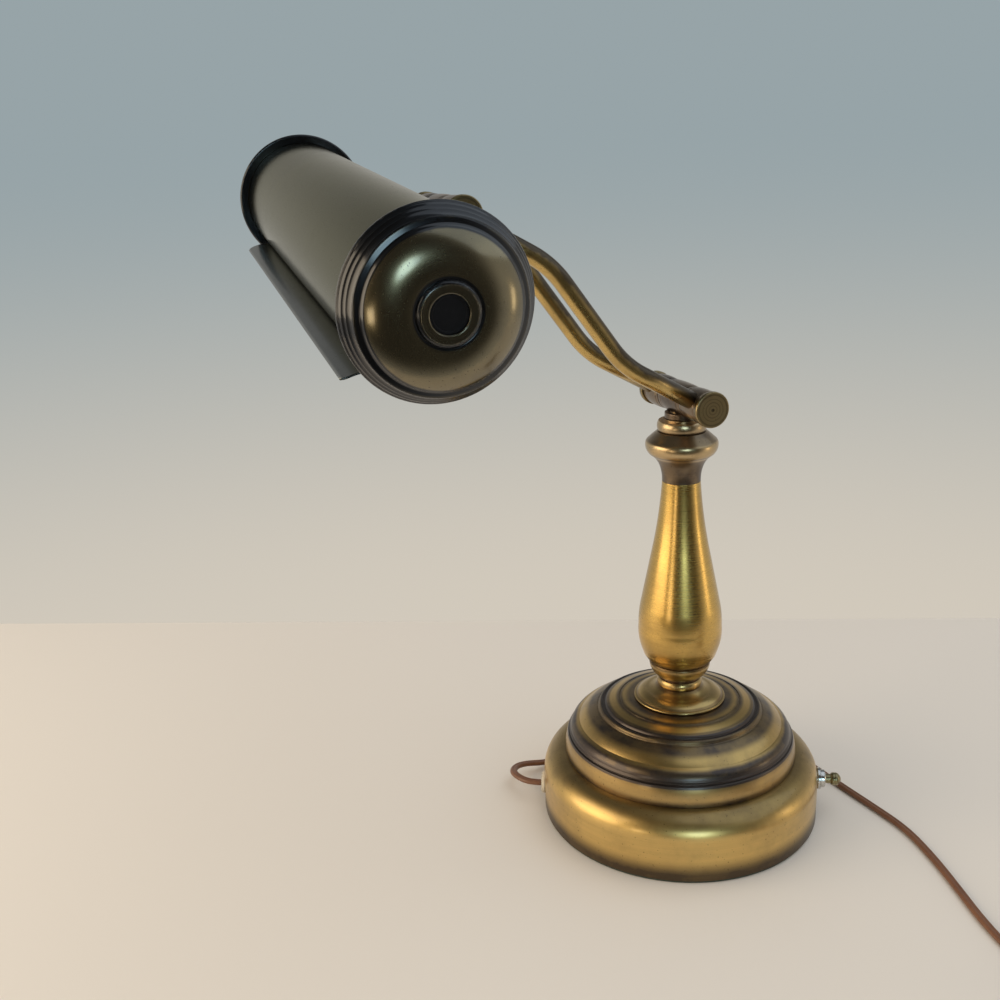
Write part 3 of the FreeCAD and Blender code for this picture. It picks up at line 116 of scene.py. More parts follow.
def coil_turns():
    """Control points of the coil: the turns lie round a ring, each a place further than the last.

    The first is low on the outside, where the cord comes in, and the last is above it."""
    places = []
    for number in range(TURNS):
        angle = math.pi / 4 * (1 - number)
        places.append(Vector((BUNDLE_RADIUS * math.sin(angle), -BUNDLE_RADIUS * math.cos(angle))))
    points = []
    for place, following in zip(places, places[1:] + places[-1:]):
        for step in range(POINTS_PER_TURN):
            share = max(0, step - POINTS_PER_TURN + SHIFTING_POINTS) / SHIFTING_POINTS
            outward, upward = place.lerp(following, share)
            angle = -math.pi / 2 + 2 * math.pi * step / POINTS_PER_TURN
            points.append((
                COIL_CENTRE[0] + (COIL_RADIUS + outward) * math.cos(angle),
                COIL_CENTRE[1] + (COIL_RADIUS + outward) * math.sin(angle),
                COIL_CENTRE[2] + upward,
            ))
    return points


def soft_line(name, route):
    """A soft cord's line along a route given in millimetres."""
    curve = bpy.data.curves.new(name, "CURVE")
    curve.dimensions = "3D"
    curve.resolution_u = 8
    spline = curve.splines.new("NURBS")
    spline.points.add(len(route) - 1)
    for point, place in zip(spline.points, route):
        point.co = (*(value * MM for value in place), 1)
    spline.order_u = 3
    spline.use_endpoint_u = True
    line = bpy.data.objects.new(name, curve)
    scene.collection.objects.link(line)
    return line


cord_points = CORD_ROUTE + coil_turns() + TAIL_ROUTE
cord_line = soft_line("cord_line", cord_points)
print("cord control points:", len(cord_points))

# %% [markdown]
# ## Finishes
# A finish is a small graph of nodes. `Value` wraps one socket, so that sums and products of
# masks can be written as ordinary Python, and `Graph.node` adds any other node.

# %% Node arithmetic
class Value:
    """One socket of a node graph, with arithmetic."""

    def __init__(self, graph, socket):
        self.graph = graph
        self.socket = socket

    def _math(self, operation, first, second):
        return self.graph.node("ShaderNodeMath", {"operation": operation}, [first, second])

    def __add__(self, other):
        return self._math("ADD", self, other)

    def __radd__(self, other):
        return self._math("ADD", other, self)

    def __sub__(self, other):
        return self._math("SUBTRACT", self, other)

    def __rsub__(self, other):
        return self._math("SUBTRACT", other, self)

    def __mul__(self, other):
        return self._math("MULTIPLY", self, other)

    def __rmul__(self, other):
        return self._math("MULTIPLY", other, self)

    def power(self, exponent):
        return self._math("POWER", self, exponent)

    def limit(self):
        return self.graph.node("ShaderNodeClamp", {}, [self, 0.0, 1.0])

    def ramp_up(self, low, high):
        """0 below low, 1 above high, smooth between."""
        return self.graph.node(
            "ShaderNodeMapRange", {"interpolation_type": "SMOOTHSTEP"},
            {"Value": self, "From Min": low, "From Max": high, "To Min": 0.0, "To Max": 1.0},
        )

    def band(self, middle, half, soft):
        """1 within half of middle, fading over soft on both sides."""
        rising = self.ramp_up(middle - half - soft, middle - half)
        falling = self.ramp_up(middle + half, middle + half + soft)
        return rising * (1 - falling)


class Graph:
    """A tree of shader nodes that is written as Python."""

    def __init__(self, tree):
        self.tree = tree

    def node(self, kind, settings=None, inputs=None, output=0):
        made = self.tree.nodes.new(kind)
        for key, value in (settings or {}).items():
            setattr(made, key, value)
        pairs = enumerate(inputs) if isinstance(inputs, list) else (inputs or {}).items()
        for key, value in pairs:
            self.feed(made.inputs[key], value)
        return Value(self, made.outputs[output])

    def feed(self, socket, value):
        if isinstance(value, Value):
            self.tree.links.new(value.socket, socket)
        elif socket.type == "RGBA" and len(value) == 3:
            socket.default_value = (*value, 1)
        else:
            socket.default_value = value

    def mix(self, share, first, second):
        """Colour mix: first where share is 0, second where it is 1."""
        made = self.tree.nodes.new("ShaderNodeMix")
        made.data_type = "RGBA"
        self.feed(made.inputs[0], share)
        self.feed(made.inputs[6], first)
        self.feed(made.inputs[7], second)
        return Value(self, made.outputs[2])

    def split(self, place):
        made = self.tree.nodes.new("ShaderNodeSeparateXYZ")
        self.feed(made.inputs[0], place)
        return [Value(self, output) for output in made.outputs]


class Finish(Graph):
    """A material with one Principled shader."""

    def __init__(self, name):
        self.material = bpy.data.materials.new(name)
        self.material.use_nodes = True
        super().__init__(self.material.node_tree)
        self.shader = self.tree.nodes["Principled BSDF"]
        self.place = self.node("ShaderNodeTexCoord", output="Object")

    def noise(self, place, scale, detail=3.0, roughness=0.55):
        return self.node("ShaderNodeTexNoise", {}, {
            "Vector": place, "Scale": scale, "Detail": detail, "Roughness": roughness,
        })

    def turned_place(self, origin, along):
        """Coordinates of a turned piece: along its axis (z), and across it (x, y)."""
        rotation = Vector((0, 0, 1)).rotation_difference(Vector(along)).inverted()
        moved = self.node("ShaderNodeVectorMath", {"operation": "SUBTRACT"}, [self.place, tuple(origin)])
        return self.node("ShaderNodeMapping", {}, {"Vector": moved, "Rotation": tuple(rotation.to_euler())})

    def join(self, x, y, z):
        return self.node("ShaderNodeCombineXYZ", {}, [x, y, z])

    def bump(self, height, distance, strength):
        return self.node("ShaderNodeBump", {}, {"Height": height, "Distance": distance, "Strength": strength})

    def finish(self, **sockets):
        for name, value in sockets.items():
            self.feed(self.shader.inputs[name.replace("_", " ")], value)
        return self.material


print("node helpers ready")

# %% [markdown]
# ## Antiqued brass
# The maker brushes the brass on a lathe, blackens it, and rubs it back: gold is left on the bellies and rims, brown
# stays in the grooves. On some pieces the same bands and rounds of brown also carry painted shade and painted dark
# reflection, said where they are used. The brush leaves fine rings round the axis, so that noise is squeezed along the
# axis and stretched round it. A second, coarser set of rings is the streaking left by the rubbing, and a slow cloud is
# the uneven blackening.

# %% Antiqued brass
UMBER = (0.105, 0.056, 0.030)
PLUM = (0.078, 0.062, 0.054)
FINE_RINGS, STREAKS, CLOUDS, PITS = 2600.0, 520.0, 45.0, 900.0      # features in each metre


def darker(colour, share):
    return tuple(part * share for part in colour)


def antiqued_brass(name, gold, brown=UMBER, origin=(0, 0, 0), along=(0, 0, 1), bands=(), rounds=(),
                   wear=0.25, roughness=0.30, lengthwise=False, painted_top_shade=0.0, coat=0.32, edge=(1, 1, 1)):
    """Brushed brass, brown where bands (along the axis) and rounds (distances from it) say.

    Each is (middle, half, soft, strength) in millimetres; a negative strength is rubbed bright.
    The brush runs round the axis, or lengthwise. painted_top_shade is how much painted shade darkens a tube's upper
    side, coat is the lacquer, and edge tints what shows at a glancing angle."""
    finish = Finish(name)
    place = finish.turned_place(Vector(origin) * MM, along)
    x, y, z = finish.split(place)
    radius = (x * x + y * y).power(0.5)
    brushed = finish.join(x, y, z * 0.02) if lengthwise else finish.join(x * 0.02, y * 0.02, z + radius * 0.6)
    grain = 0.25 if lengthwise else 1.0
    fine = finish.noise(brushed, FINE_RINGS, 2.0, 0.7)
    streaks = finish.noise(brushed, STREAKS, 3.0, 0.6)
    cloud = finish.noise(place, CLOUDS, 4.0, 0.6)
    pits = finish.noise(place, PITS, 1.0, 0.5).ramp_up(0.70, 0.76)
    shade = cloud.ramp_up(0.40, 0.72) * wear + (streaks - 0.5) * (0.05 + wear * 0.4) * grain
    for measure, marks in ((z, bands), (radius, rounds)):
        for middle, half, soft, strength in marks:
            wobble = (cloud - 0.5) * (soft * 0.4 * MM)
            shade = shade + (measure + wobble).band(middle * MM, half * MM, soft * MM) * strength
    # painted shade: a tube is darkened on its upper side, read from its upper attribute
    if painted_top_shade:
        upper = finish.node("ShaderNodeAttribute", {"attribute_name": "upper"}, {}, "Fac")
        shade = shade + (upper + (cloud - 0.5) * 0.5).ramp_up(-0.35, 0.65) * painted_top_shade
    shade = (shade + (fine - 0.5) * 0.08 * grain).limit()
    tone = finish.mix(streaks.ramp_up(0.30, 0.70), darker(gold, 1 - 0.10 * grain), gold)
    colour = finish.mix(pits * 0.5, finish.mix(shade, tone, brown), darker(brown, 0.4))
    rough = roughness + shade * 0.10 + (fine - 0.5) * 0.08 * grain + pits * 0.15
    normal = finish.bump(fine + streaks * 0.2, 0.00001, 0.08 * grain)
    finish.shader.inputs["Coat Roughness"].default_value = 0.14
    finish.shader.inputs["Specular Tint"].default_value = (*edge, 1)
    return finish.finish(Base_Color=colour, Coat_Weight=coat + (cloud - 0.5) * 0.2, Metallic=1.0,
                         Roughness=rough, Normal=normal)


print("antiqued brass ready")

# %% [markdown]
# ## Plainer materials
# The hardware is zinc-plated or cast, the holder and switch are phenolic, and the cord is vinyl.
# A thread is a ridge that climbs one pitch in each turn, so its height is a wave of the distance
# along the axis plus the angle round it.

# %% Plainer materials
def hardware(name, colour, roughness, grain=900.0, depth=0.00003):
    """Plated or cast metal: a mottled grain in its colour, gloss and surface."""
    finish = Finish(name)
    mottle = finish.noise(finish.place, grain * 0.12, 4.0, 0.6)
    fine = finish.noise(finish.place, grain, 3.0, 0.6)
    stain = finish.mix(mottle.ramp_up(0.40, 0.75) * 0.6, colour, darker(colour, 0.45))
    rough = roughness + (fine - 0.5) * 0.2 + mottle * 0.1
    return finish.finish(Base_Color=stain, Metallic=1.0, Roughness=rough, Normal=finish.bump(fine, depth, 0.6))


def threaded(name, colour, origin, along, pitch=1.0):
    """Plated pipe with a rolled thread."""
    finish = Finish(name)
    x, y, z = finish.split(finish.turned_place(Vector(origin) * MM, along))
    angle = finish.node("ShaderNodeMath", {"operation": "ARCTAN2"}, [y, x])
    phase = z * (2 * math.pi / (pitch * MM)) + angle
    ridge = finish.node("ShaderNodeMath", {"operation": "SINE"}, [phase]) * 0.5 + 0.5
    grime = finish.noise(finish.place, 300.0)
    colour_node = finish.mix(ridge * 0.7 + grime * 0.3, darker(colour, 0.35), colour)
    return finish.finish(Base_Color=colour_node, Metallic=1.0, Roughness=0.3 + grime * 0.2,
                         Normal=finish.bump(ridge, 0.0004, 0.8))


FLECKS, ORANGE_PEEL = 700.0, 1400.0     # features in each metre


def moulded(name, colour, fleck, roughness, coat=0.0, specular=0.5):
    """Moulded phenolic, vinyl or rubber: flecks in the colour and an orange-peel surface."""
    finish = Finish(name)
    flecks = finish.noise(finish.place, FLECKS, 4.0, 0.7).ramp_up(0.52, 0.68)
    peel = finish.noise(finish.place, ORANGE_PEEL, 2.0, 0.5)
    slow = finish.noise(finish.place, 60.0, 3.0, 0.6)
    finish.shader.inputs["Specular IOR Level"].default_value = specular
    colour_node = finish.mix(flecks * 0.5 + slow * 0.25, colour, fleck)
    return finish.finish(Base_Color=colour_node, Roughness=roughness + (peel - 0.5) * 0.15 + slow * 0.1,
                         Coat_Weight=coat, Normal=finish.bump(peel, 0.00004, 0.5))


def pressed_felt(name):
    """Green-grey felt: two crossed sets of short fibres and loose fluff."""
    finish = Finish(name)
    x, y, z = finish.split(finish.place)
    lengthwise = finish.noise(finish.join(x * 0.15, y, z), 2400.0, 3.0, 0.7)
    crosswise = finish.noise(finish.join(x, y * 0.15, z), 2400.0, 3.0, 0.7)
    fibre = lengthwise * 0.5 + crosswise * 0.5
    fluff = finish.noise(finish.place, 250.0, 4.0, 0.7)
    colour = finish.mix((fibre + fluff * 0.6 - 0.3).limit(), (0.025, 0.034, 0.024), (0.075, 0.092, 0.066))
    return finish.finish(Base_Color=colour, Roughness=0.95, Normal=finish.bump(fibre + fluff * 0.5, 0.0004, 0.9))


def frosted_glass(name):
    """Bulb glass with a white powder inside: a little light comes through the thin places."""
    finish = Finish(name)
    powder = finish.noise(finish.place, 500.0, 4.0, 0.7)
    drift = finish.noise(finish.place, 35.0, 3.0, 0.6)
    colour = finish.mix(drift, (0.93, 0.92, 0.88), (0.80, 0.79, 0.75))
    finish.shader.inputs["Transmission Weight"].default_value = 0.25
    return finish.finish(Base_Color=colour, Roughness=0.22 + powder * 0.2, Alpha=0.86 + powder * 0.12,
                         Normal=finish.bump(powder, 0.00003, 0.4))


print("plainer materials ready")

# %% [markdown]
# ## Turned pieces
# Most of the lamp is round: it was spun or turned, so each piece is an outline taken once round an
# axis. The outline is written as corners in millimetres, radius first; a third number is how far
# an arc bows out. A Geometry Nodes tree sweeps the outline round a circle, which keeps the rule
# (one outline, one turn) in one place for every piece.

# %% Outlines
def bowed(corners, closed=True, step=0.6):
    """The outline's points, with each bow drawn as an arc."""
    points = []
    start = corners[-1] if closed else None
    for corner in corners:
        end = Vector(corner[:2])
        if start is not None and len(corner) > 2:
            begin = Vector(start[:2])
            chord = end - begin
            half, rise = chord.length / 2, abs(corner[2])
            ray = (half * half + rise * rise) / (2 * rise)
            spread = 2 * math.atan2(rise, half)
            along = chord.normalized()
            side = Vector((along.y, -along.x)) * math.copysign(1, corner[2])
            middle = (begin + end) / 2
            count = max(4, round(2 * spread * ray / step))
            for number in range(1, count):
                angle = spread * (2 * number / count - 1)
                points.append(middle + along * ray * math.sin(angle) + side * (ray * math.cos(angle) - ray + rise))
        points.append(end)
        start = corner
    return points


SHARP_TURN = math.radians(14)
SHORTEST, HELD = 1e-6, 0.15             # millimetres


def eased(points, ease, closed=True):
    """Round each sharp corner by ease, and hold the flat runs next to it straight."""
    result = []
    count = len(points)
    for number, corner in enumerate(points):
        if not closed and number in (0, count - 1):
            result.append(corner)
            continue
        before, after = points[number - 1], points[(number + 1) % count]
        into, out = (before - corner), (after - corner)
        if into.length < SHORTEST or out.length < SHORTEST:
            continue
        turn = math.pi - into.angle(out)
        if turn < SHARP_TURN or corner.x < SHORTEST:
            result.append(corner)
            continue
        cut = min(ease, into.length * 0.4, out.length * 0.4)
        first, last = corner + into.normalized() * cut, corner + out.normalized() * cut
        hold = min(cut, HELD)
        result.append(corner + into.normalized() * (cut + hold))
        for share in (0, 0.25, 0.5, 0.75, 1):
            result.append(first.lerp(corner, share).lerp(corner.lerp(last, share), share))
        result.append(corner + out.normalized() * (cut + hold))
    return result


print("outline helpers ready")

# %% The turning tree
CIRCLE = 0.1                            # the sweep circle's radius, in metres; outlines are drawn from it


def turning_tree():
    """The outline swept round a circle, merged at its seam, smoothed and given its finish."""
    tree = bpy.data.node_groups.new("turning", "GeometryNodeTree")
    for name, kind in (("Outline", "Geometry"), ("Steps round", "Int"), ("Finish", "Material")):
        tree.interface.new_socket(name, in_out="INPUT", socket_type="NodeSocket" + kind)
    tree.interface.new_socket("Piece", in_out="OUTPUT", socket_type="NodeSocketGeometry")
    given, made = tree.nodes.new("NodeGroupInput"), tree.nodes.new("NodeGroupOutput")
    outline, circle, normal, sweep, merge, smooth, realize, paint = (
        tree.nodes.new("GeometryNode" + kind) for kind in (
            "MeshToCurve", "CurvePrimitiveCircle", "SetCurveNormal", "CurveToMesh",
            "MergeByDistance", "SetShadeSmooth", "RealizeInstances", "SetMaterial",
        ))
    circle.inputs["Radius"].default_value = CIRCLE
    normal.mode = "Z_UP"
    merge.inputs["Distance"].default_value = 1e-6
    for source, output, target, entry in (
        (given, "Outline", outline, "Mesh"),
        (given, "Steps round", circle, "Resolution"),
        (circle, "Curve", normal, "Curve"),
        (normal, "Curve", sweep, "Curve"),
        (outline, "Curve", sweep, "Profile Curve"),
        (sweep, "Mesh", merge, "Geometry"),
        (merge, "Geometry", smooth, "Geometry"),
        (smooth, "Geometry", realize, "Geometry"),
        (realize, "Geometry", paint, "Geometry"),
        (given, "Finish", paint, "Material"),
        (paint, "Geometry", made, "Piece"),
    ):
        tree.links.new(source.outputs[output], target.inputs[entry])
    return tree


TURNING = turning_tree()


def socket_named(tree, name):
    """A modifier's input is set by its socket's identifier, which the name leads to."""
    return next(item.identifier for item in tree.interface.items_tree if item.name == name)


def bake_modifiers(thing, name):
    """The evaluated piece as a plain mesh object, in place of the one with modifiers."""
    evaluated = thing.evaluated_get(bpy.context.evaluated_depsgraph_get())
    mesh = bpy.data.meshes.new_from_object(evaluated)
    mesh.name = name
    bpy.data.objects.remove(thing)
    result = bpy.data.objects.new(name, mesh)
    scene.collection.objects.link(result)
    return result


def face_outwards(mesh):
    work = bmesh.new()
    work.from_mesh(mesh)
    bmesh.ops.remove_doubles(work, verts=work.verts, dist=1e-7)
    bmesh.ops.recalc_face_normals(work, faces=work.faces)
    work.to_mesh(mesh)
    work.free()
    mesh.shade_smooth()


def turned(name, points, finish, origin=(0, 0, 0), along=(0, 0, 1), steps=160, closed=True):
    """A piece turned about a line through origin, from (radius, distance along) points in mm."""
    mesh = bpy.data.meshes.new(name)
    vertices = [(point[0] * MM - CIRCLE, -point[1] * MM, 0) for point in points]
    count = len(vertices)
    edges = [(number, number + 1) for number in range(count - 1)]
    if closed:
        edges.append((count - 1, 0))
    mesh.from_pydata(vertices, edges, [])
    blank = bpy.data.objects.new(name + "_outline", mesh)
    scene.collection.objects.link(blank)
    modifier = blank.modifiers.new("turning", "NODES")
    modifier.node_group = TURNING
    modifier[socket_named(TURNING, "Steps round")] = steps
    modifier[socket_named(TURNING, "Finish")] = finish
    piece = bake_modifiers(blank, name)
    rotation = Vector((0, 0, 1)).rotation_difference(Vector(along)).to_matrix().to_4x4()
    piece.data.transform(Matrix.Translation(Vector(origin) * MM) @ rotation)
    face_outwards(piece.data)
    return piece


print("turning tree ready:", len(TURNING.nodes), "nodes")

# %% [markdown]
# ## The base
# Two spun shells over a cast-iron slug: a plain drum with a rounded shoulder, and a stepped dome.

# %% Heights of the pieces that stand on each other
FELT_TOP = 1.5
DRUM_TOP = FELT_TOP + 37.3
SAUCER_FOOT = DRUM_TOP + 34.5
COLUMN_FOOT = SAUCER_FOOT + 8.0
VASE_FOOT = COLUMN_FOOT + 16.2
CUP_FOOT = VASE_FOOT + 111.0
RING_FOOT = CUP_FOOT + 29.0
RING_TOP = RING_FOOT + 6.3
WASHER_TOP = RING_TOP + 1.0
KNUCKLE_HEIGHT = RING_TOP + 12.1
PIPE_HOLE = 5.08
BASE_STEPS = 256                        # sides of the widest turned pieces
print("lower knuckle at", round(KNUCKLE_HEIGHT, 1), "mm")


def stand_on(piece, body, slot, *replaced):
    """Let a finished piece ride on its body in place of the CAD nodes that it draws."""
    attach(piece, body)
    if replaced:
        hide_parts(*replaced)


def column_piece(name, node, foot, finish, corners, ease=0.25, steps=160):
    """A brass piece turned about the column's axis, with its foot at the given height."""
    piece = turned(name, eased(bowed(corners), ease), finish, (0, 0, foot), steps=steps)
    stand_on(piece, "base", "golden_brass", node)
    print(name, "faces:", len(piece.data.polygons))


# %% Drum
drum_finish = antiqued_brass(
    "drum_brass", gold=(0.70, 0.48, 0.17), brown=(0.090, 0.062, 0.036), wear=0.22, roughness=0.35,
    # painted shade: the drum darkens towards its foot, and over its upper shoulder beside the dome
    bands=[(0.0, 4.0, 11.0, 0.95), (38.5, 2.5, 6.5, 0.45)],
)
column_piece("drum", "base_drum", FELT_TOP, drum_finish, [
    (82.5, 0), (82.5, 23.7), (68.9, 37.3, 3.98), (PIPE_HOLE, 37.3), (PIPE_HOLE, 36.1), (68.9, 36.1),
    (81.3, 23.7, -3.63), (81.3, 0),
], 0.3, BASE_STEPS)

# %% [markdown]
# The dome is one spinning: a band, two fine lines, a bulge, a bead, a broad flat with a ring, and a low cone. Brown
# patina stays between the lines and in the grooves of the steps. The wide dark bands under the bead, across the back of
# the bulge and round its foot are painted dark reflection, and the darkening at the dome's foot and on the steps'
# shaded sides is painted shade as well as patina.

# %% Dome
dome_finish = antiqued_brass(
    "dome_brass", gold=(0.64, 0.43, 0.155), brown=PLUM, wear=0.3,
    # painted shade: the dark line at the dome's foot fades up over the band; the line between band and bulge is patina
    bands=[(38.8, 0.6, 4.5, 0.75), (52.3, 1.4, 1.6, 0.95), (43.5, 1.5, 3.0, 0.15)],
    # painted dark reflection: the wide rounds under the bead and round the bulge's foot; the narrow rings are patina in
    # the steps' grooves with painted shade on their shaded sides
    rounds=[(50.5, 3.0, 4.0, 0.70), (65.0, 1.6, 2.6, 0.9), (45.4, 0.7, 1.6, 0.75), (43.2, 0.6, 1.6, 0.7),
            (35.9, 0.7, 2.2, 0.75), (28.5, 1.2, 3.6, 0.70)],
)
column_piece("dome", "base_dome", DRUM_TOP, dome_finish, [
    (68.9, 0), (67.3, 12.2, 0.7), (66.1, 12.6), (66.6, 13.4), (65.7, 14.6), (60.3, 20.2, 1.1),
    (49.7, 27.2, 0.7), (48.5, 27.9, -0.2), (46.2, 30.0, 0.8), (45.8, 29.6), (45.0, 29.6), (43.0, 31.5, 0.3),
    (36.3, 33.3), (35.9, 32.9), (34.4, 33.8, 0.25), (28.1, 34.5), (PIPE_HOLE, 34.5), (PIPE_HOLE, 33.4),
    (28.1, 33.4), (35.2, 31.5), (42.45, 29.85), (47.4, 26.8), (48.6, 25.9), (59.3, 19.1, -0.56),
    (64.5, 14.9, -0.88), (65.0, 11.9), (67.8, 0, -0.56),
], steps=BASE_STEPS)

# %% Saucer
saucer_finish = antiqued_brass(
    "saucer_brass", gold=(0.60, 0.42, 0.16),
    bands=[(SAUCER_FOOT + 0.2, 0.3, 1.0, 0.8), (SAUCER_FOOT + 8.0, 0.5, 1.4, 0.6)], rounds=[(25.2, 0.3, 0.8, 0.5)],
)
column_piece("saucer_plate", "saucer", SAUCER_FOOT, saucer_finish, [
    (PIPE_HOLE, 0), (26.2, 0), (26.4, 1.9, 0.7), (25.6, 2.0), (18.5, 5.2, 0.8), (12.4, 8.0, -0.4), (PIPE_HOLE, 8.0),
])

# %% [markdown]
# ## The column
# A turned foot, a long hollow vase, a flared cup and a beaded ring, all clamped on one pipe.

# %% Column
foot_finish = antiqued_brass(
    "foot_brass", gold=(0.54, 0.37, 0.14),
    bands=[(COLUMN_FOOT + 6.0, 0.6, 0.8, 0.95), (COLUMN_FOOT + 0.2, 0.4, 1.2, 0.8), (COLUMN_FOOT + 8.0, 0.5, 1.6, 0.5),
           (COLUMN_FOOT + 16.0, 0.4, 2.2, 0.7)],
)
column_piece("foot_turning", "column_foot", COLUMN_FOOT, foot_finish, [
    (PIPE_HOLE, 0), (12.3, 0), (12.3, 5.1, 1.0), (11.6, 5.5), (11.6, 6.2), (13.3, 7.0), (16.9, 11.4, 0.4),
    (17.8, 14.4, 0.2), (17.2, 16.2, 0.25), (PIPE_HOLE, 16.2),
])

vase_finish = antiqued_brass(
    "vase_brass", gold=(0.70, 0.455, 0.13), wear=0.2, roughness=0.27,
    bands=[(VASE_FOOT, 0.8, 6.0, 0.6), (VASE_FOOT + 14.0, 2.0, 6.0, 0.12)],
)
column_piece("vase", "column_vase", VASE_FOOT, vase_finish, [
    (PIPE_HOLE, 0), (16.8, 0), (21.9, 7, 0.85), (24.3, 23.5, 1.0), (23.0, 37, 0.35), (16.7, 68.5),
    (10.9, 111, -0.75), (PIPE_HOLE, 111), (PIPE_HOLE, 108), (9.1, 108), (14.9, 68.5), (21.2, 37),
    (22.5, 23.5), (20.1, 7), (15.0, 3), (PIPE_HOLE, 3),
], steps=192)

cup_finish = antiqued_brass(
    "cup_brass", gold=(0.56, 0.41, 0.22), brown=(0.125, 0.090, 0.062), wear=0.35,
    bands=[(CUP_FOOT + 6.0, 7.0, 2.5, 0.85), (CUP_FOOT + 15.9, 0.3, 0.5, 0.6), (CUP_FOOT + 20.5, 1.6, 1.6, -0.5),
           (CUP_FOOT + 26.5, 2.0, 1.5, 0.55)],
)
column_piece("cup", "column_cup", CUP_FOOT, cup_finish, [
    (PIPE_HOLE, 0), (10.9, 0), (12.4, 9.3, -0.45), (17.5, 15.8, -0.6), (17.9, 16.0), (20.4, 21.8, 0.75),
    (18.8, 24.8, 0.45), (13.9, 29.0, 0.1), (PIPE_HOLE, 29.0),
], 0.2)

ring_finish = antiqued_brass(
    "ring_brass", gold=(0.55, 0.41, 0.23), brown=(0.12, 0.085, 0.06), wear=0.3,
    bands=[(RING_FOOT, 0.4, 1.2, 0.8), (RING_TOP, 0.3, 0.8, -0.4)],
)
column_piece("ring", "column_ring", RING_FOOT, ring_finish, [
    (PIPE_HOLE, 0), (13.0, 0), (13.0, 6.3, 0.9), (PIPE_HOLE, 6.3),
])
print("column height:", round(RING_TOP, 1), "mm")

# %% [markdown]
# ## The arm
# Two rods bent into a shallow S join a knuckle on the column to a knuckle at the shade. Each
# knuckle is a row of rounded beads on one bolt: knob, barrel, block, barrel, knob.

# %% Arm sizes
ARM_LEG, ARM_MIDDLE, BEND_RADIUS = 53.0, 67.0, 55.0
LEG_ANGLE, MIDDLE_ANGLE = math.radians(29.5), math.radians(54.0)
ROD_RADIUS, ROD_OUT, ROD_START = 4.75, 24.0, 4.6
BEAD_RADIUS, BEAD_LINE = 8.6, 2.6
BLOCK_HALF, KNUCKLE_GAP, BARREL_LENGTH = 12.4, 0.1, 19.0
BARREL_START = BLOCK_HALF + KNUCKLE_GAP
BARREL_END = BARREL_START + BARREL_LENGTH
KNOB_RADIUS, KNOB_THICKNESS = 9.7, 3.3
leg = Vector((0, -math.cos(LEG_ANGLE), math.sin(LEG_ANGLE)))
middle = Vector((0, -math.cos(MIDDLE_ANGLE), math.sin(MIDDLE_ANGLE)))
lower_knuckle = Vector((0, 0, KNUCKLE_HEIGHT))
lower_bend = lower_knuckle + leg * ARM_LEG
upper_bend = lower_bend + middle * ARM_MIDDLE
upper_knuckle = upper_bend + leg * ARM_LEG
print("upper knuckle at", tuple(round(value, 1) for value in upper_knuckle), "mm")

# %% Rods
ROD_SIDES, BEND_STEPS = 32, 12


def rod_line():
    """The rod's middle line, with both bends as arcs."""
    points = [lower_knuckle + leg * ROD_START]
    for corner, into, out in ((lower_bend, leg, middle), (upper_bend, middle, leg)):
        turn = into.angle(out)
        cut = BEND_RADIUS * math.tan(turn / 2)
        start, end = corner - into * cut, corner + out * cut
        centre = corner + (out - into).normalized() * (BEND_RADIUS / math.cos(turn / 2))
        for number in range(BEND_STEPS + 1):
            ray = (start - centre).lerp(end - centre, number / BEND_STEPS)
            points.append(centre + ray.normalized() * BEND_RADIUS)
    points.append(upper_knuckle - leg * ROD_START)
    return points


def made_from(name, work, finish):
    """A new object from a bmesh, with its faces outward and one finish."""
    mesh = bpy.data.meshes.new(name)
    work.to_mesh(mesh)
    work.free()
    mesh.materials.append(finish)
    piece = bpy.data.objects.new(name, mesh)
    scene.collection.objects.link(piece)
    face_outwards(mesh)
    return piece


def skin(work, rings):
    """Faces between successive rings of vertices, and over both ends."""
    count = len(rings[0])
    for first, second in zip(rings, rings[1:]):
        for number in range(count):
            following = (number + 1) % count
            work.faces.new((first[number], first[following], second[following], second[number]))
    work.faces.new(rings[0])
    work.faces.new(rings[-1])


def tube_along(name, points, section, finish, scales=None):
    """A section of (across, upward) pairs in mm, carried level along points in mm."""
    work = bmesh.new()
    # the upper attribute holds each point's height in the section, which the brass reads for painted shade on a tube's
    # top
    upper, top = work.verts.layers.float.new("upper"), max(v for u, v in section)
    rings = []
    for number, point in enumerate(points):
        ahead = points[min(number + 1, len(points) - 1)] - points[max(number - 1, 0)]
        across = ahead.cross(Vector((0, 0, 1))).normalized()
        upward = across.cross(ahead).normalized()
        size = scales[number] if scales else 1.0
        ring = []
        for u, v in section:
            vertex = work.verts.new((point + (across * u + upward * v) * size) * MM)
            vertex[upper] = v / top
            ring.append(vertex)
        rings.append(ring)
    skin(work, rings)
    return made_from(name, work, finish)


def round_section(radius, sides):
    angles = (2 * math.pi * side / sides for side in range(sides))
    return [(radius * math.cos(angle), radius * math.sin(angle)) for angle in angles]


# painted shade on the rods' upper sides; the rods also darken towards both knuckles
rod_finish = antiqued_brass("rod_brass", gold=(0.62, 0.43, 0.15), brown=(0.070, 0.052, 0.032), wear=0.3, painted_top_shade=0.95,
                            origin=tuple(lower_bend), along=tuple(middle), roughness=0.27, lengthwise=True,
                            bands=[(-48.0, 4.0, 12.0, 0.5), (115.0, 4.0, 12.0, 0.5)])
for name, side in (("near", 1), ("far", -1)):
    offset = Vector((side * ROD_OUT, 0, 0))
    rod = tube_along("rod_" + name, [point + offset for point in rod_line()],
                     round_section(ROD_RADIUS, ROD_SIDES), rod_finish)
    stand_on(rod, "arm", "dark_brass", "arm_rod_" + name)
print("rod points:", len(rod_line()))

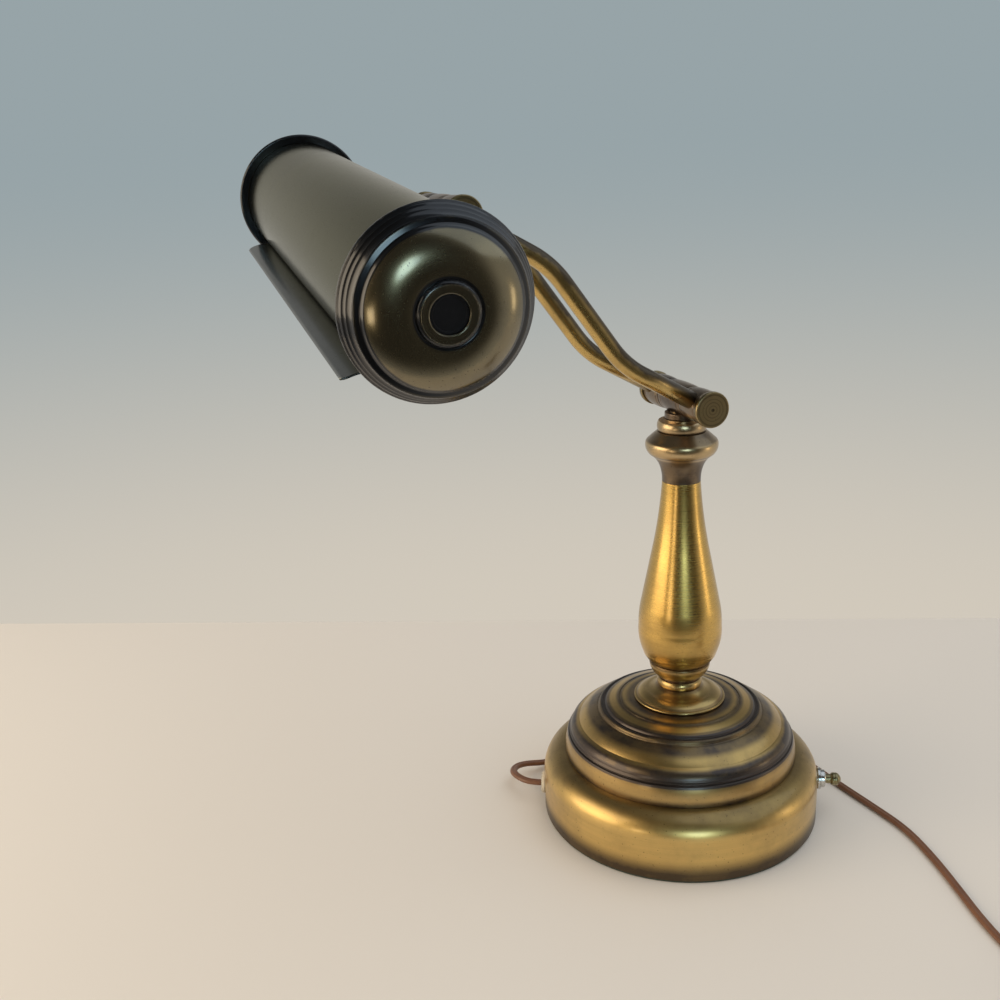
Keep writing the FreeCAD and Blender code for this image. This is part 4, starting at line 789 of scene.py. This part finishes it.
# %% [markdown]
# The barrels are dark and glossy, rubbed bright only on the crown of the bead. The knobs are the
# bolt's turned heads: a plain rim and fine lathe rings round a small centre mark.

# %% Knuckle beads
LATHE_RINGS = 12


def bead(start, end):
    """A rounded bead from start to end along the bolt, with a fine line near each end."""
    return [(0.0, start), (BEAD_RADIUS, start), (BEAD_RADIUS + 0.35, start + BEAD_LINE, 0.05),
            (BEAD_RADIUS + 0.05, start + BEAD_LINE + 0.3), (BEAD_RADIUS + 0.4, start + BEAD_LINE + 0.6),
            (BEAD_RADIUS + 0.4, end - BEAD_LINE - 0.6, 0.28), (BEAD_RADIUS + 0.05, end - BEAD_LINE - 0.3),
            (BEAD_RADIUS + 0.35, end - BEAD_LINE), (BEAD_RADIUS, end, 0.05), (0.0, end)]


def knob(start):
    """The knob's outline: a flat rim, fine lathe rings and a small centre mark."""
    face = start + KNOB_THICKNESS
    rings = []
    for number in range(LATHE_RINGS):
        radius = KNOB_RADIUS * (0.93 - 0.07 * number)
        rings += [(radius, face), (radius - 0.22, face - 0.10), (radius - 0.44, face)]
    return [(0.0, start), (KNOB_RADIUS - 0.4, start), (KNOB_RADIUS, start + 0.4), (KNOB_RADIUS, face - 0.4),
            (KNOB_RADIUS - 0.4, face)] + rings + [(0.7, face), (0.0, face - 0.35)]


def knuckle_piece(name, outline, finish, centre, along, ease=0.3):
    return turned(name, eased(bowed(outline, False), ease, False), finish, centre, along, 96, False)


for knuckle, centre in (("lower", lower_knuckle), ("upper", upper_knuckle)):
    bolt_line = {"origin": tuple(centre), "along": (1, 0, 0)}
    barrel_finish = antiqued_brass(
        knuckle + "_barrel_brass", gold=(0.26, 0.19, 0.125), brown=(0.035, 0.027, 0.022), wear=0.7, **bolt_line,
        bands=[(side * at, 0.5, 0.7, 0.8) for side in (1, -1) for at in (BARREL_START, BARREL_END)])
    knob_finish = antiqued_brass(
        knuckle + "_knob_brass", gold=(0.31, 0.235, 0.115), brown=(0.05, 0.036, 0.02), wear=0.35, **bolt_line,
        rounds=[(0.0, 0.8, 0.3, 0.9), (2.3, 0.1, 0.35, 0.4), (4.1, 0.1, 0.35, 0.5), (5.9, 0.1, 0.35, 0.4),
                (KNOB_RADIUS - 1.5, 0.2, 0.5, 0.5), (KNOB_RADIUS, 0.2, 0.4, -0.5)])
    for name, side in (("near", 1), ("far", -1)):
        barrel = knuckle_piece("%s_bead_%s" % (knuckle, name), bead(BARREL_START, BARREL_END), barrel_finish,
                               centre, (side, 0, 0))
        stand_on(barrel, "arm", "dark_brass", "%s_barrel_%s" % (knuckle, name))
        cap = turned("%s_cap_%s" % (knuckle, name), [Vector(point) for point in knob(BARREL_END)],
                     knob_finish, centre, (side, 0, 0), 96, False)
        stand_on(cap, "arm", "knob_brass", "%s_knob_%s" % (knuckle, name))
print("knuckles made")


# %% Blocks
def joined(name, pieces):
    """Several meshes as one piece."""
    work = bmesh.new()
    for piece in pieces:
        work.from_mesh(piece.data)
    finish = pieces[0].data.materials[0]
    for piece in pieces:
        bpy.data.objects.remove(piece)
    return made_from(name, work, finish)


SHADE_DROP, SHADE_HEADING, SHADE_TILT = (math.radians(angle) for angle in (12.2, -1.6, 5.3))
DISC_RADIUS, DISC_HEIGHT, NECK_RADIUS, NECK_LENGTH = 9.7, 3.7, 7.0, 11.4
neck_along = Vector((
    math.sin(SHADE_HEADING),
    -math.cos(SHADE_HEADING) * math.cos(SHADE_DROP),
    -math.cos(SHADE_HEADING) * math.sin(SHADE_DROP),
))
block_finish = antiqued_brass("block_brass", gold=(0.24, 0.17, 0.11), brown=(0.035, 0.026, 0.022), wear=0.7,
                              origin=tuple(lower_knuckle), along=(1, 0, 0))
lower = joined("swivel_block", [
    knuckle_piece("bead", bead(-BLOCK_HALF, BLOCK_HALF), block_finish, lower_knuckle, (1, 0, 0)),
    knuckle_piece("disc", [(0, 0), (DISC_RADIUS, 0), (DISC_RADIUS, DISC_HEIGHT), (0, DISC_HEIGHT)], block_finish,
                  (0, 0, WASHER_TOP), (0, 0, 1), 0.6),
])
stand_on(lower, "swivel", "dark_brass", "lower_block")
upper = joined("head_block", [
    knuckle_piece("bead", bead(-BLOCK_HALF, BLOCK_HALF), block_finish, upper_knuckle, (1, 0, 0)),
    knuckle_piece("neck", [(0, 0), (NECK_RADIUS, 0), (NECK_RADIUS, NECK_LENGTH), (0, NECK_LENGTH)], block_finish,
                  upper_knuckle, neck_along, 0.4),
])
stand_on(upper, "head", "dark_brass", "upper_block")
print("blocks made")

# %% [markdown]
# ## The shade
# A long tube with a slot underneath, a curved lip along the slot's front edge, and a spun cap on
# each end. Its own axis leans a little, so it gets its own frame: along, outward and up.

# %% Shade frame
SHADE_REACH, SHADE_LENGTH, TUBE_RADIUS, TUBE_WALL, END_OVERLAP = 46.3, 305.5, 32.7, 0.8, 2.0
shade_turn = (Matrix.Rotation(SHADE_DROP, 3, "X") @ Matrix.Rotation(SHADE_HEADING, 3, "Z")
              @ Matrix.Rotation(SHADE_TILT, 3, "Y"))
shade_middle = upper_knuckle + neck_along * SHADE_REACH
shade_along = shade_turn @ Vector((1, 0, 0))
shade_line = {"origin": tuple(shade_middle), "along": tuple(shade_along)}


def on_shade(x, y, z):
    """A point of the shade's own frame, in the lamp's frame, in millimetres."""
    return shade_middle + shade_turn @ Vector((x, y, z))


def polar(radius, angle):
    """A point of the shade's section: 0 degrees is outward and 90 is up."""
    return Vector((radius * math.cos(math.radians(angle)), radius * math.sin(math.radians(angle))))


print("shade axis", tuple(round(value, 3) for value in shade_along))

# %% Shade tube and lip
SLOT_FRONT, SLOT_REAR = -33.0, -139.0
LAP_START, LAP_END, ROOT_RADIUS, ROOT_ANGLE = -24.5, -33.9, 32.9, -33.9
LIP_OUT, LIP_DROP, LIP_WALL, LIP_CORNER, LIP_HALF = 41.0, 18.2, 0.8, 4.0, 146.85
STATIONS = [-1.0, -0.999, -0.995, -0.98, -0.9, -0.6, -0.3, 0.0, 0.3, 0.6, 0.9, 0.98, 0.995, 0.999, 1.0]
shade_finish = antiqued_brass("shade_brass", **shade_line, gold=(0.155, 0.150, 0.125), brown=(0.095, 0.088, 0.064),
                              wear=0.35, roughness=0.15, lengthwise=True, coat=0.15, edge=(0.62, 0.61, 0.52))
lip_finish = antiqued_brass("lip_metal", **shade_line, gold=(0.135, 0.150, 0.150), brown=(0.055, 0.062, 0.062),
                            wear=0.15, roughness=0.34, lengthwise=True)


def along_shade(name, section, half_at, finish):
    """A rolled piece: a section in the shade's (outward, up) plane, drawn out along it.

    half_at gives half the length at a section point, so that corners can be rounded."""
    work = bmesh.new()
    columns = [
        [work.verts.new(on_shade(station * half_at(point), -point[0], point[1]) * MM) for point in section]
        for station in STATIONS
    ]
    skin(work, columns)
    return made_from(name, work, finish)


def tube_section(radius, wall, first, last, steps=90):
    """An open ring, from angle first up over the top to last."""
    around = [first + (last + 360 - first) * number / steps for number in range(steps + 1)]
    outer = [polar(radius, angle) for angle in around]
    inner = [polar(radius - wall, angle) for angle in reversed(around)]
    return outer + inner


tube = along_shade("tube", tube_section(TUBE_RADIUS, TUBE_WALL, SLOT_FRONT, SLOT_REAR),
                   lambda point: SHADE_LENGTH / 2 + END_OVERLAP, shade_finish)
stand_on(tube, "shade", "shade_brass", "shade_tube")

lap_line = [polar(TUBE_RADIUS - TUBE_WALL - 0.03, LAP_START + (LAP_END - LAP_START) * number / 8)
            for number in range(9)]
lip_root = polar(ROOT_RADIUS, ROOT_ANGLE)
lip_chord = Vector((LIP_OUT, -LIP_DROP)) - lip_root
lip_rise = Vector((-lip_chord.y, lip_chord.x)).normalized()
lip_line = [lip_root + lip_chord * share + lip_rise * 4 * share * (1 - share)
            for share in (number / 10 for number in range(1, 11))]


def lip_half(point):
    """Half the lip's length, drawn in round the corners of its free edge."""
    left = max(LIP_OUT - point[0], 0.0)
    if left >= LIP_CORNER:
        return LIP_HALF
    return LIP_HALF - LIP_CORNER + math.sqrt(LIP_CORNER ** 2 - (LIP_CORNER - left) ** 2)


def thickened(line, wall):
    """A line with a second one beneath it, as a closed section."""
    under = []
    for number, point in enumerate(line):
        ahead = line[min(number + 1, len(line) - 1)] - line[max(number - 1, 0)]
        under.append(point + Vector((ahead.y, -ahead.x)).normalized() * wall)
    return line + under[::-1]


lip = along_shade("lip", thickened(lap_line + [lip_root] + lip_line, LIP_WALL), lip_half, lip_finish)
stand_on(lip, "shade", "lip_metal", "visor")
print("tube and lip made")

# %% [markdown]
# The caps were spun and then blackened: the rolled rim and its fine lines are nearly black, and
# the dome is rubbed back to olive, golden towards its edge. A black disc fills the boss.

# %% End caps
PLANE = SHADE_LENGTH / 2
SEAT = TUBE_RADIUS + 0.03
DISH_RADIUS, DISH_DEPTH, DISC_THICK = 7.3, 15.4, 0.8
CAP_OUTLINE = [
    (SEAT, -1.2), (36.6, -1.2), (36.6, 1.2, -0.9), (35.9, 2.3), (35.9, 2.8, -0.15), (34.6, 4.3, 0.15),
    (34.6, 4.8, -0.15), (33.0, 6.9, 0.2), (32.2, 8.4, -0.45), (30.7, 8.9), (29.7, 10.2, 0.1), (12.6, 15.6, -2.05),
    (12.1, 15.4), (11.9, 16.3), (9.6, 17.2, -0.4), (7.8, 17.2), (DISH_RADIUS, 16.8), (DISH_RADIUS, DISH_DEPTH),
    (0.0, DISH_DEPTH), (0.0, 14.2), (12.1, 14.4), (28.5, 9.9, 1.88), (30.0, 7.7), (31.4, 5.7), (31.5, 2.2),
    (SEAT, 2.2),
]
boss_black = moulded("boss_black", (0.004, 0.004, 0.005), (0.010, 0.010, 0.012), 0.55, specular=0.15)
for name, side in (("near", 1), ("far", -1)):
    cap_finish = antiqued_brass(
        "cap_brass_" + name, **shade_line, gold=(0.21, 0.175, 0.10), brown=(0.016, 0.017, 0.020), wear=0.3, coat=0.9,
        roughness=0.24, rounds=[(34.4, 3.6, 0.7, 1.1), (30.3, 0.7, 1.0, 1.0), (12.2, 0.5, 1.4, 0.9),
                                (9.0, 3.0, 2.0, 0.35), (32.4, 0.3, 0.3, -0.25)])
    corners = [(corner[0], PLANE + corner[1], *(-bow for bow in corner[2:])) for corner in CAP_OUTLINE]
    cap = turned("cap_" + name, eased(bowed(corners), 0.2), cap_finish, shade_middle, shade_along * side, 192)
    stand_on(cap, "shade", "cap_brass", "end_cap_" + name)
    disc_foot = PLANE + DISH_DEPTH
    disc_outline = [(0.0, disc_foot), (DISH_RADIUS - 0.03, disc_foot), (DISH_RADIUS - 0.03, disc_foot + DISC_THICK),
                    (DISH_RADIUS - 0.9, disc_foot + DISC_THICK), (DISH_RADIUS - 1.3, disc_foot + DISC_THICK - 0.3),
                    (0.0, disc_foot + DISC_THICK - 0.3)]
    disc = turned("boss_disc_" + name, eased(bowed(disc_outline, False), 0.1, False), boss_black, shade_middle,
                  shade_along * side, 96, False)
    stand_on(disc, "shade", "boss_black", "cap_button_" + name)
print("caps made")

# %% [markdown]
# ## The switch and the bushing
# The push switch stands in the drum's wall: a round nut with a smaller collar, a threaded bush
# and a brass button. On the other side a pale bushing keeps the cord off the wall's edge.

# %% Switch and bushing
WALL_FACE, SWITCH_HEIGHT, BUSHING_HEIGHT = 82.55, 21.4, 12.0
BUSH_END, BUSH_RADIUS, THREAD_PITCH, THREAD_TURNS = 87.6, 4.0, 0.6, 12
switch_along = Vector((math.cos(math.radians(62)), math.sin(math.radians(62)), 0))
bushing_along = Vector((math.cos(math.radians(246)), math.sin(math.radians(246)), 0))
nickel = hardware("nickel", (0.72, 0.70, 0.66), 0.18, 700.0, 0.00001)
button_brass = antiqued_brass("button_brass", origin=(0, 0, SWITCH_HEIGHT), along=tuple(switch_along),
                              gold=(0.36, 0.30, 0.15), brown=(0.10, 0.08, 0.045), wear=0.5)
cream = moulded("bushing_cream", (0.72, 0.66, 0.54), (0.52, 0.45, 0.34), 0.45)


def in_wall(name, outline, finish, along, height, ease=0.15):
    return turned(name, eased(bowed(outline), ease), finish, (0, 0, height), along, 96)


nut = in_wall("switch_collar", [
    (4.05, WALL_FACE), (6.1, WALL_FACE), (6.5, WALL_FACE + 0.4), (6.5, WALL_FACE + 1.7), (6.1, WALL_FACE + 2.1, 0.1),
    (5.3, WALL_FACE + 2.1), (5.3, WALL_FACE + 4.0), (4.8, WALL_FACE + 4.5, 0.15), (4.05, WALL_FACE + 4.5),
], nickel, switch_along, SWITCH_HEIGHT)
stand_on(nut, "base", "nickel", "switch_nut")
thread = []
for number in range(THREAD_TURNS):
    at = BUSH_END - 0.5 - THREAD_PITCH * number
    thread += [(BUSH_RADIUS, at), (BUSH_RADIUS - 0.25, at - THREAD_PITCH / 2)]
bush = in_wall("switch_thread", [
    (2.88, BUSH_END), (BUSH_RADIUS - 0.4, BUSH_END), *thread, (BUSH_RADIUS, 80.2), (6.0, 80.2), (6.0, 79.3),
    (BUSH_RADIUS, 79.3), (BUSH_RADIUS, 76.0), (2.88, 76.0),
], nickel, switch_along, SWITCH_HEIGHT, 0.08)
stand_on(bush, "base", "nickel", "switch_bush")
button = turned("switch_knob", eased(bowed([
    (0, 78.6), (2.8, 78.6), (2.8, 90.48), (3.7, 92.9, 0.49), (2.6, 95.55, 0.5), (0, 96.6, 0.32),
], False), 0.1, False), button_brass, (0, 0, SWITCH_HEIGHT), switch_along, 96, False)
stand_on(button, "button", "button_brass", "switch_button")
bushing = in_wall("bushing_ring", [
    (0, 76.3), (4.2, 76.3), (4.6, 77.0), (4.6, WALL_FACE), (6.6, WALL_FACE), (6.6, WALL_FACE + 1.2),
    (5.6, WALL_FACE + 2.2, 0.29), (3.6, WALL_FACE + 2.2), (3.0, WALL_FACE + 1.6), (0, WALL_FACE + 1.6),
], cream, bushing_along, BUSHING_HEIGHT)
stand_on(bushing, "base", "bushing_cream", "cord_bushing")
print("switch and bushing made")

# %% [markdown]
# ## The cord's own look
# It is a flat twin: two cores side by side in one brown vinyl jacket, with a valley between them.
# The section is carried level along the points of the cord's own spline.

# %% Flat twin cord
CORE_WIDTH, CORE_HEIGHT, VALLEY, SECTION_STEPS = 2.3, 1.7, 0.55, 28
vinyl = Finish("cord_vinyl")
slow = vinyl.noise(vinyl.place, 60.0, 3.0, 0.6)
drawn = vinyl.noise(vinyl.place, 420.0, 3.0, 0.6)
vinyl_colour = vinyl.mix(slow * 0.5 + drawn * 0.5, (0.085, 0.030, 0.014), (0.26, 0.115, 0.055))
cord_brown = vinyl.finish(Base_Color=vinyl_colour, Roughness=0.34 + drawn * 0.2, Coat_Weight=0.15,
                          Normal=vinyl.bump(drawn, 0.00008, 0.5))


def twin_section():
    """Two lobes: an oval whose middle dips above and below."""
    section = []
    for step in range(SECTION_STEPS):
        angle = 2 * math.pi * step / SECTION_STEPS
        across = CORE_WIDTH * math.cos(angle)
        dip = VALLEY * math.exp(-(across / 0.55) ** 2)
        section.append((across, (CORE_HEIGHT - dip) * math.sin(angle)))
    return section


def spline_points(curve_object):
    """The points of the spline itself, in millimetres, lowered so that the flat cord rests on the table."""
    evaluated = curve_object.evaluated_get(bpy.context.evaluated_depsgraph_get())
    mesh = bpy.data.meshes.new_from_object(evaluated)
    points = [vertex.co / MM - Vector((0, 0, LIE - CORE_HEIGHT - 0.05)) for vertex in mesh.vertices]
    bpy.data.meshes.remove(mesh)
    return points


cord_path = spline_points(cord_line)
bpy.data.objects.remove(cord_line)
cord = tube_along("cord", cord_path, twin_section(), cord_brown)
print("cord faces:", len(cord.data.polygons))

# %% [markdown]
# The plug is moulded on: a flat body that narrows to the cord, three grip ridges on each side,
# and a ribbed relief that lets the cord bend gradually.

# %% Plug
PLUG_AT, PLUG_HALF, PLUG_HIGH, PLUG_LONG = Vector((265.0, 146.0, 7.5)), 12.0, 7.5, 30.0
RELIEF_LENGTH, RELIEF_START, RELIEF_END, RELIEF_RIBS = 22.0, 1.25, 2.2, 5
PLUG_SECTIONS, PLUG_SIDES, SQUARENESS, NECK_SHARE = 30, 48, 0.55, 0.45
GRIP_START, GRIP_END, GRIP_PITCH, GRIP_DEPTH, RIB_DEPTH = 14.0, 27.0, 2.2, 0.5, 0.12
plug_vinyl = moulded("plug_vinyl", (0.12, 0.048, 0.024), (0.20, 0.09, 0.045), 0.42)


def plug_body():
    """Rounded sections from the cord's end to the blades' face."""
    work = bmesh.new()
    rings = []
    for number in range(PLUG_SECTIONS + 1):
        along = PLUG_LONG * number / PLUG_SECTIONS
        share = min(1.0, along / (NECK_SHARE * PLUG_LONG))
        half = PLUG_HALF * (0.5 + 0.5 * share * share * (3 - 2 * share))
        gripped = GRIP_START < along < GRIP_END
        grip = GRIP_DEPTH * math.sin(math.pi * along / GRIP_PITCH) ** 2 if gripped else 0.0
        high = PLUG_HIGH * (0.78 + 0.22 * share)
        end = min(along, PLUG_LONG - along)
        ease = 1.0 if end >= 1.0 else 0.9 + 0.1 * end
        ring = []
        for step in range(PLUG_SIDES):
            angle = 2 * math.pi * step / PLUG_SIDES
            u = math.copysign(abs(math.cos(angle)) ** SQUARENESS, math.cos(angle)) * (half - grip) * ease
            v = math.copysign(abs(math.sin(angle)) ** SQUARENESS, math.sin(angle)) * high * ease
            ring.append(work.verts.new((PLUG_AT + Vector((u, along, v))) * MM))
        rings.append(ring)
    skin(work, rings)
    return made_from("plug", work, plug_vinyl)


plug = plug_body()
stand_on(plug, "base", "cord_brown", "plug_body")
relief_path, reached = [cord_path[-1]], 0.0
for point in reversed(cord_path[:-1]):
    reached += (point - relief_path[-1]).length
    if reached > RELIEF_LENGTH:
        break
    relief_path.append(point)
relief_scales = []
for number in range(len(relief_path)):
    share = 1 - number / (len(relief_path) - 1)
    rib = RIB_DEPTH * (math.sin(math.pi * RELIEF_RIBS * share) ** 2)
    relief_scales.append(RELIEF_START + (RELIEF_END - RELIEF_START) * share - rib)
relief = tube_along("plug_relief", relief_path, round_section(CORE_WIDTH, 24), plug_vinyl, relief_scales)
stand_on(relief, "base", "cord_brown")
print("plug made; relief points:", len(relief_path))

# %% [markdown]
# ## The CAD pieces that stay
# Hidden and half-hidden pieces keep their CAD shape and get the metal, phenolic or glass that
# such a piece has.

# %% Remaining CAD pieces
zinc = hardware("zinc_plate", (0.58, 0.57, 0.54), 0.32)
phenolic = moulded("phenolic", (0.012, 0.010, 0.009), (0.045, 0.030, 0.022), 0.30, coat=0.3)
dark_washer = antiqued_brass("dark_washer_brass", gold=(0.40, 0.27, 0.14), brown=(0.06, 0.04, 0.03), wear=0.5)
saddle_brass = antiqued_brass("saddle_brass", origin=tuple(upper_knuckle), along=tuple(neck_along),
                              gold=(0.36, 0.26, 0.13), brown=(0.05, 0.04, 0.03), wear=0.4)
kept_finishes = {
    "base_felt": pressed_felt("green_felt"),
    "base_weight": hardware("cast_iron", (0.10, 0.10, 0.105), 0.62, 600.0, 0.0004),
    "center_pipe": threaded("pipe_thread", (0.60, 0.59, 0.56), (0, 0, 0), (0, 0, 1)),
    "shade_nipple": threaded("nipple_thread", (0.60, 0.59, 0.56), tuple(upper_knuckle), tuple(neck_along)),
    "pipe_washer": zinc, "pipe_nut": zinc, "lower_bolt": zinc, "upper_bolt": zinc, "nipple_nut": zinc,
    "socket_bracket": hardware("bracket_steel", (0.55, 0.55, 0.53), 0.30, 500.0),
    "swivel_washer": dark_washer, "swivel_collar": dark_washer,
    "outer_saddle": saddle_brass, "inner_saddle": saddle_brass,
    "switch_body": phenolic, "lamp_socket": phenolic,
    "bulb_cap": threaded("bulb_thread", (0.70, 0.62, 0.42), tuple(shade_middle), tuple(shade_along), 3.6),
    "bulb_glass": frosted_glass("frosted_glass"),
    "coil_tie": moulded("tie_band", (0.10, 0.042, 0.022), (0.16, 0.08, 0.045), 0.55),
    "plug_blade_left": hardware("blade_brass", (0.70, 0.55, 0.30), 0.22),
}
kept_finishes["plug_blade_right"] = kept_finishes["plug_blade_left"]
for name, finish in kept_finishes.items():
    nodes[name].data.materials.clear()
    nodes[name].data.materials.append(finish)
print("finished CAD pieces:", len(kept_finishes))

# %% The cord rides on the base in place of the CAD cord pieces
stand_on(cord, "base", "cord_brown", "power_cord", "power_cord_tail", "cord_coil")

# %% [markdown]
# ## The room
# A pale floor and soft lamps. Seen by the camera the world is a wall, warm low down and cool
# higher up. Metal sees more of it: pale walls low at the sides and behind, a dim ceiling, and an
# unlit room behind the camera with one cool window, which gives a turned piece its dark stripe.

# %% Floor and world
FLOOR_TURN = 5.0                        # degrees, so that its far edge is seen level
FLOOR_BACK, FLOOR_FRONT, FLOOR_SIDE = 0.28, -0.34, 0.80      # from the column, as the camera faces
ahead = Matrix.Rotation(math.radians(CAMERA_TURN + LOOKS_LEFT - FLOOR_TURN), 3, "Z")
work = bmesh.new()
work.faces.new([
    work.verts.new(ahead @ Vector((across, along, 0)))
    for across, along in ((-FLOOR_SIDE, FLOOR_FRONT), (FLOOR_SIDE, FLOOR_FRONT),
                          (FLOOR_SIDE, FLOOR_BACK), (-FLOOR_SIDE, FLOOR_BACK))
])
floor_material = Finish("floor").finish(Base_Color=(0.76, 0.70, 0.63), Roughness=0.6)
floor = made_from("floor", work, floor_material)

WALL_LOW, WALL_HIGH, WALL_LIGHT = (0.64, 0.585, 0.50), (0.31, 0.37, 0.39), (0.58, 0.57, 0.55)
SIDE_WALL, CEILING, DARK_ROOM = (0.50, 0.49, 0.46), (0.070, 0.078, 0.085), (0.045, 0.043, 0.038)
DARK_SIDE = (0.882, -0.461, 0.10)       # towards the camera, where the room is unlit
WINDOW, WINDOW_SIDE = (3.9, 5.7, 6.6), (0.950, -0.205, 0.236)    # a cool window in that room

world = bpy.data.worlds.new("studio")
scene.world = world
world.use_nodes = True
sky = Graph(world.node_tree)
place = sky.node("ShaderNodeTexCoord", output="Generated")
height = sky.split(place)[2]


def towards(direction):
    """How far a ray points in a direction: 1 straight at it, 0 across it."""
    return sky.node("ShaderNodeVectorMath", {"operation": "DOT_PRODUCT"}, [place, direction], "Value")


def ray_is(kind):
    return sky.node("ShaderNodeLightPath", output="Is %s Ray" % kind)


walls = sky.mix(height.ramp_up(0.05, 0.75), SIDE_WALL, CEILING)
room = sky.mix(towards(DARK_SIDE).ramp_up(0.12, 0.62), walls, DARK_ROOM)
metal_sees = sky.mix(towards(WINDOW_SIDE).ramp_up(0.976, 0.997), room, WINDOW)
seen = sky.mix(ray_is("Glossy"), WALL_LIGHT, metal_sees)
wall = sky.mix(height.ramp_up(-0.40, 0.02), WALL_LOW, WALL_HIGH)
sky.feed(sky.tree.nodes["Background"].inputs["Color"], sky.mix(ray_is("Camera"), seen, wall))
print("world nodes:", len(sky.tree.nodes))


# %% Lamps
def lamp(name, place, target, size, power, colour):
    """A soft box of the given width and height that faces its target."""
    data = bpy.data.lights.new(name, "AREA")
    data.shape = "RECTANGLE"
    data.size, data.size_y = size
    data.energy = power
    data.color = colour
    light = bpy.data.objects.new(name, data)
    direction = Vector(target) - Vector(place)
    light.matrix_world = Matrix.Translation(place) @ direction.to_track_quat("-Z", "Y").to_matrix().to_4x4()
    scene.collection.objects.link(light)


lamp("warm_side", (-0.10, -1.15, 0.50), (0, 0, 0.15), (1.0, 0.9), 8.5, (1.0, 0.83, 0.60))
lamp("warm_strip", (0.62, -0.97, 0.11), (0, 0, 0.12), (0.22, 0.20), 0.52, (1.0, 0.84, 0.62))
lamp("amber_side", (0.52, 0.90, 0.16), (0, 0, 0.12), (0.18, 0.28), 0.45, (1.0, 0.80, 0.50))
lamp("cool_top", (0.30, 0.60, 1.25), (0, 0, 0.1), (1.6, 1.6), 6.0, (0.80, 0.90, 1.0))
scene.view_settings.view_transform = "Standard"
print("lamps made")
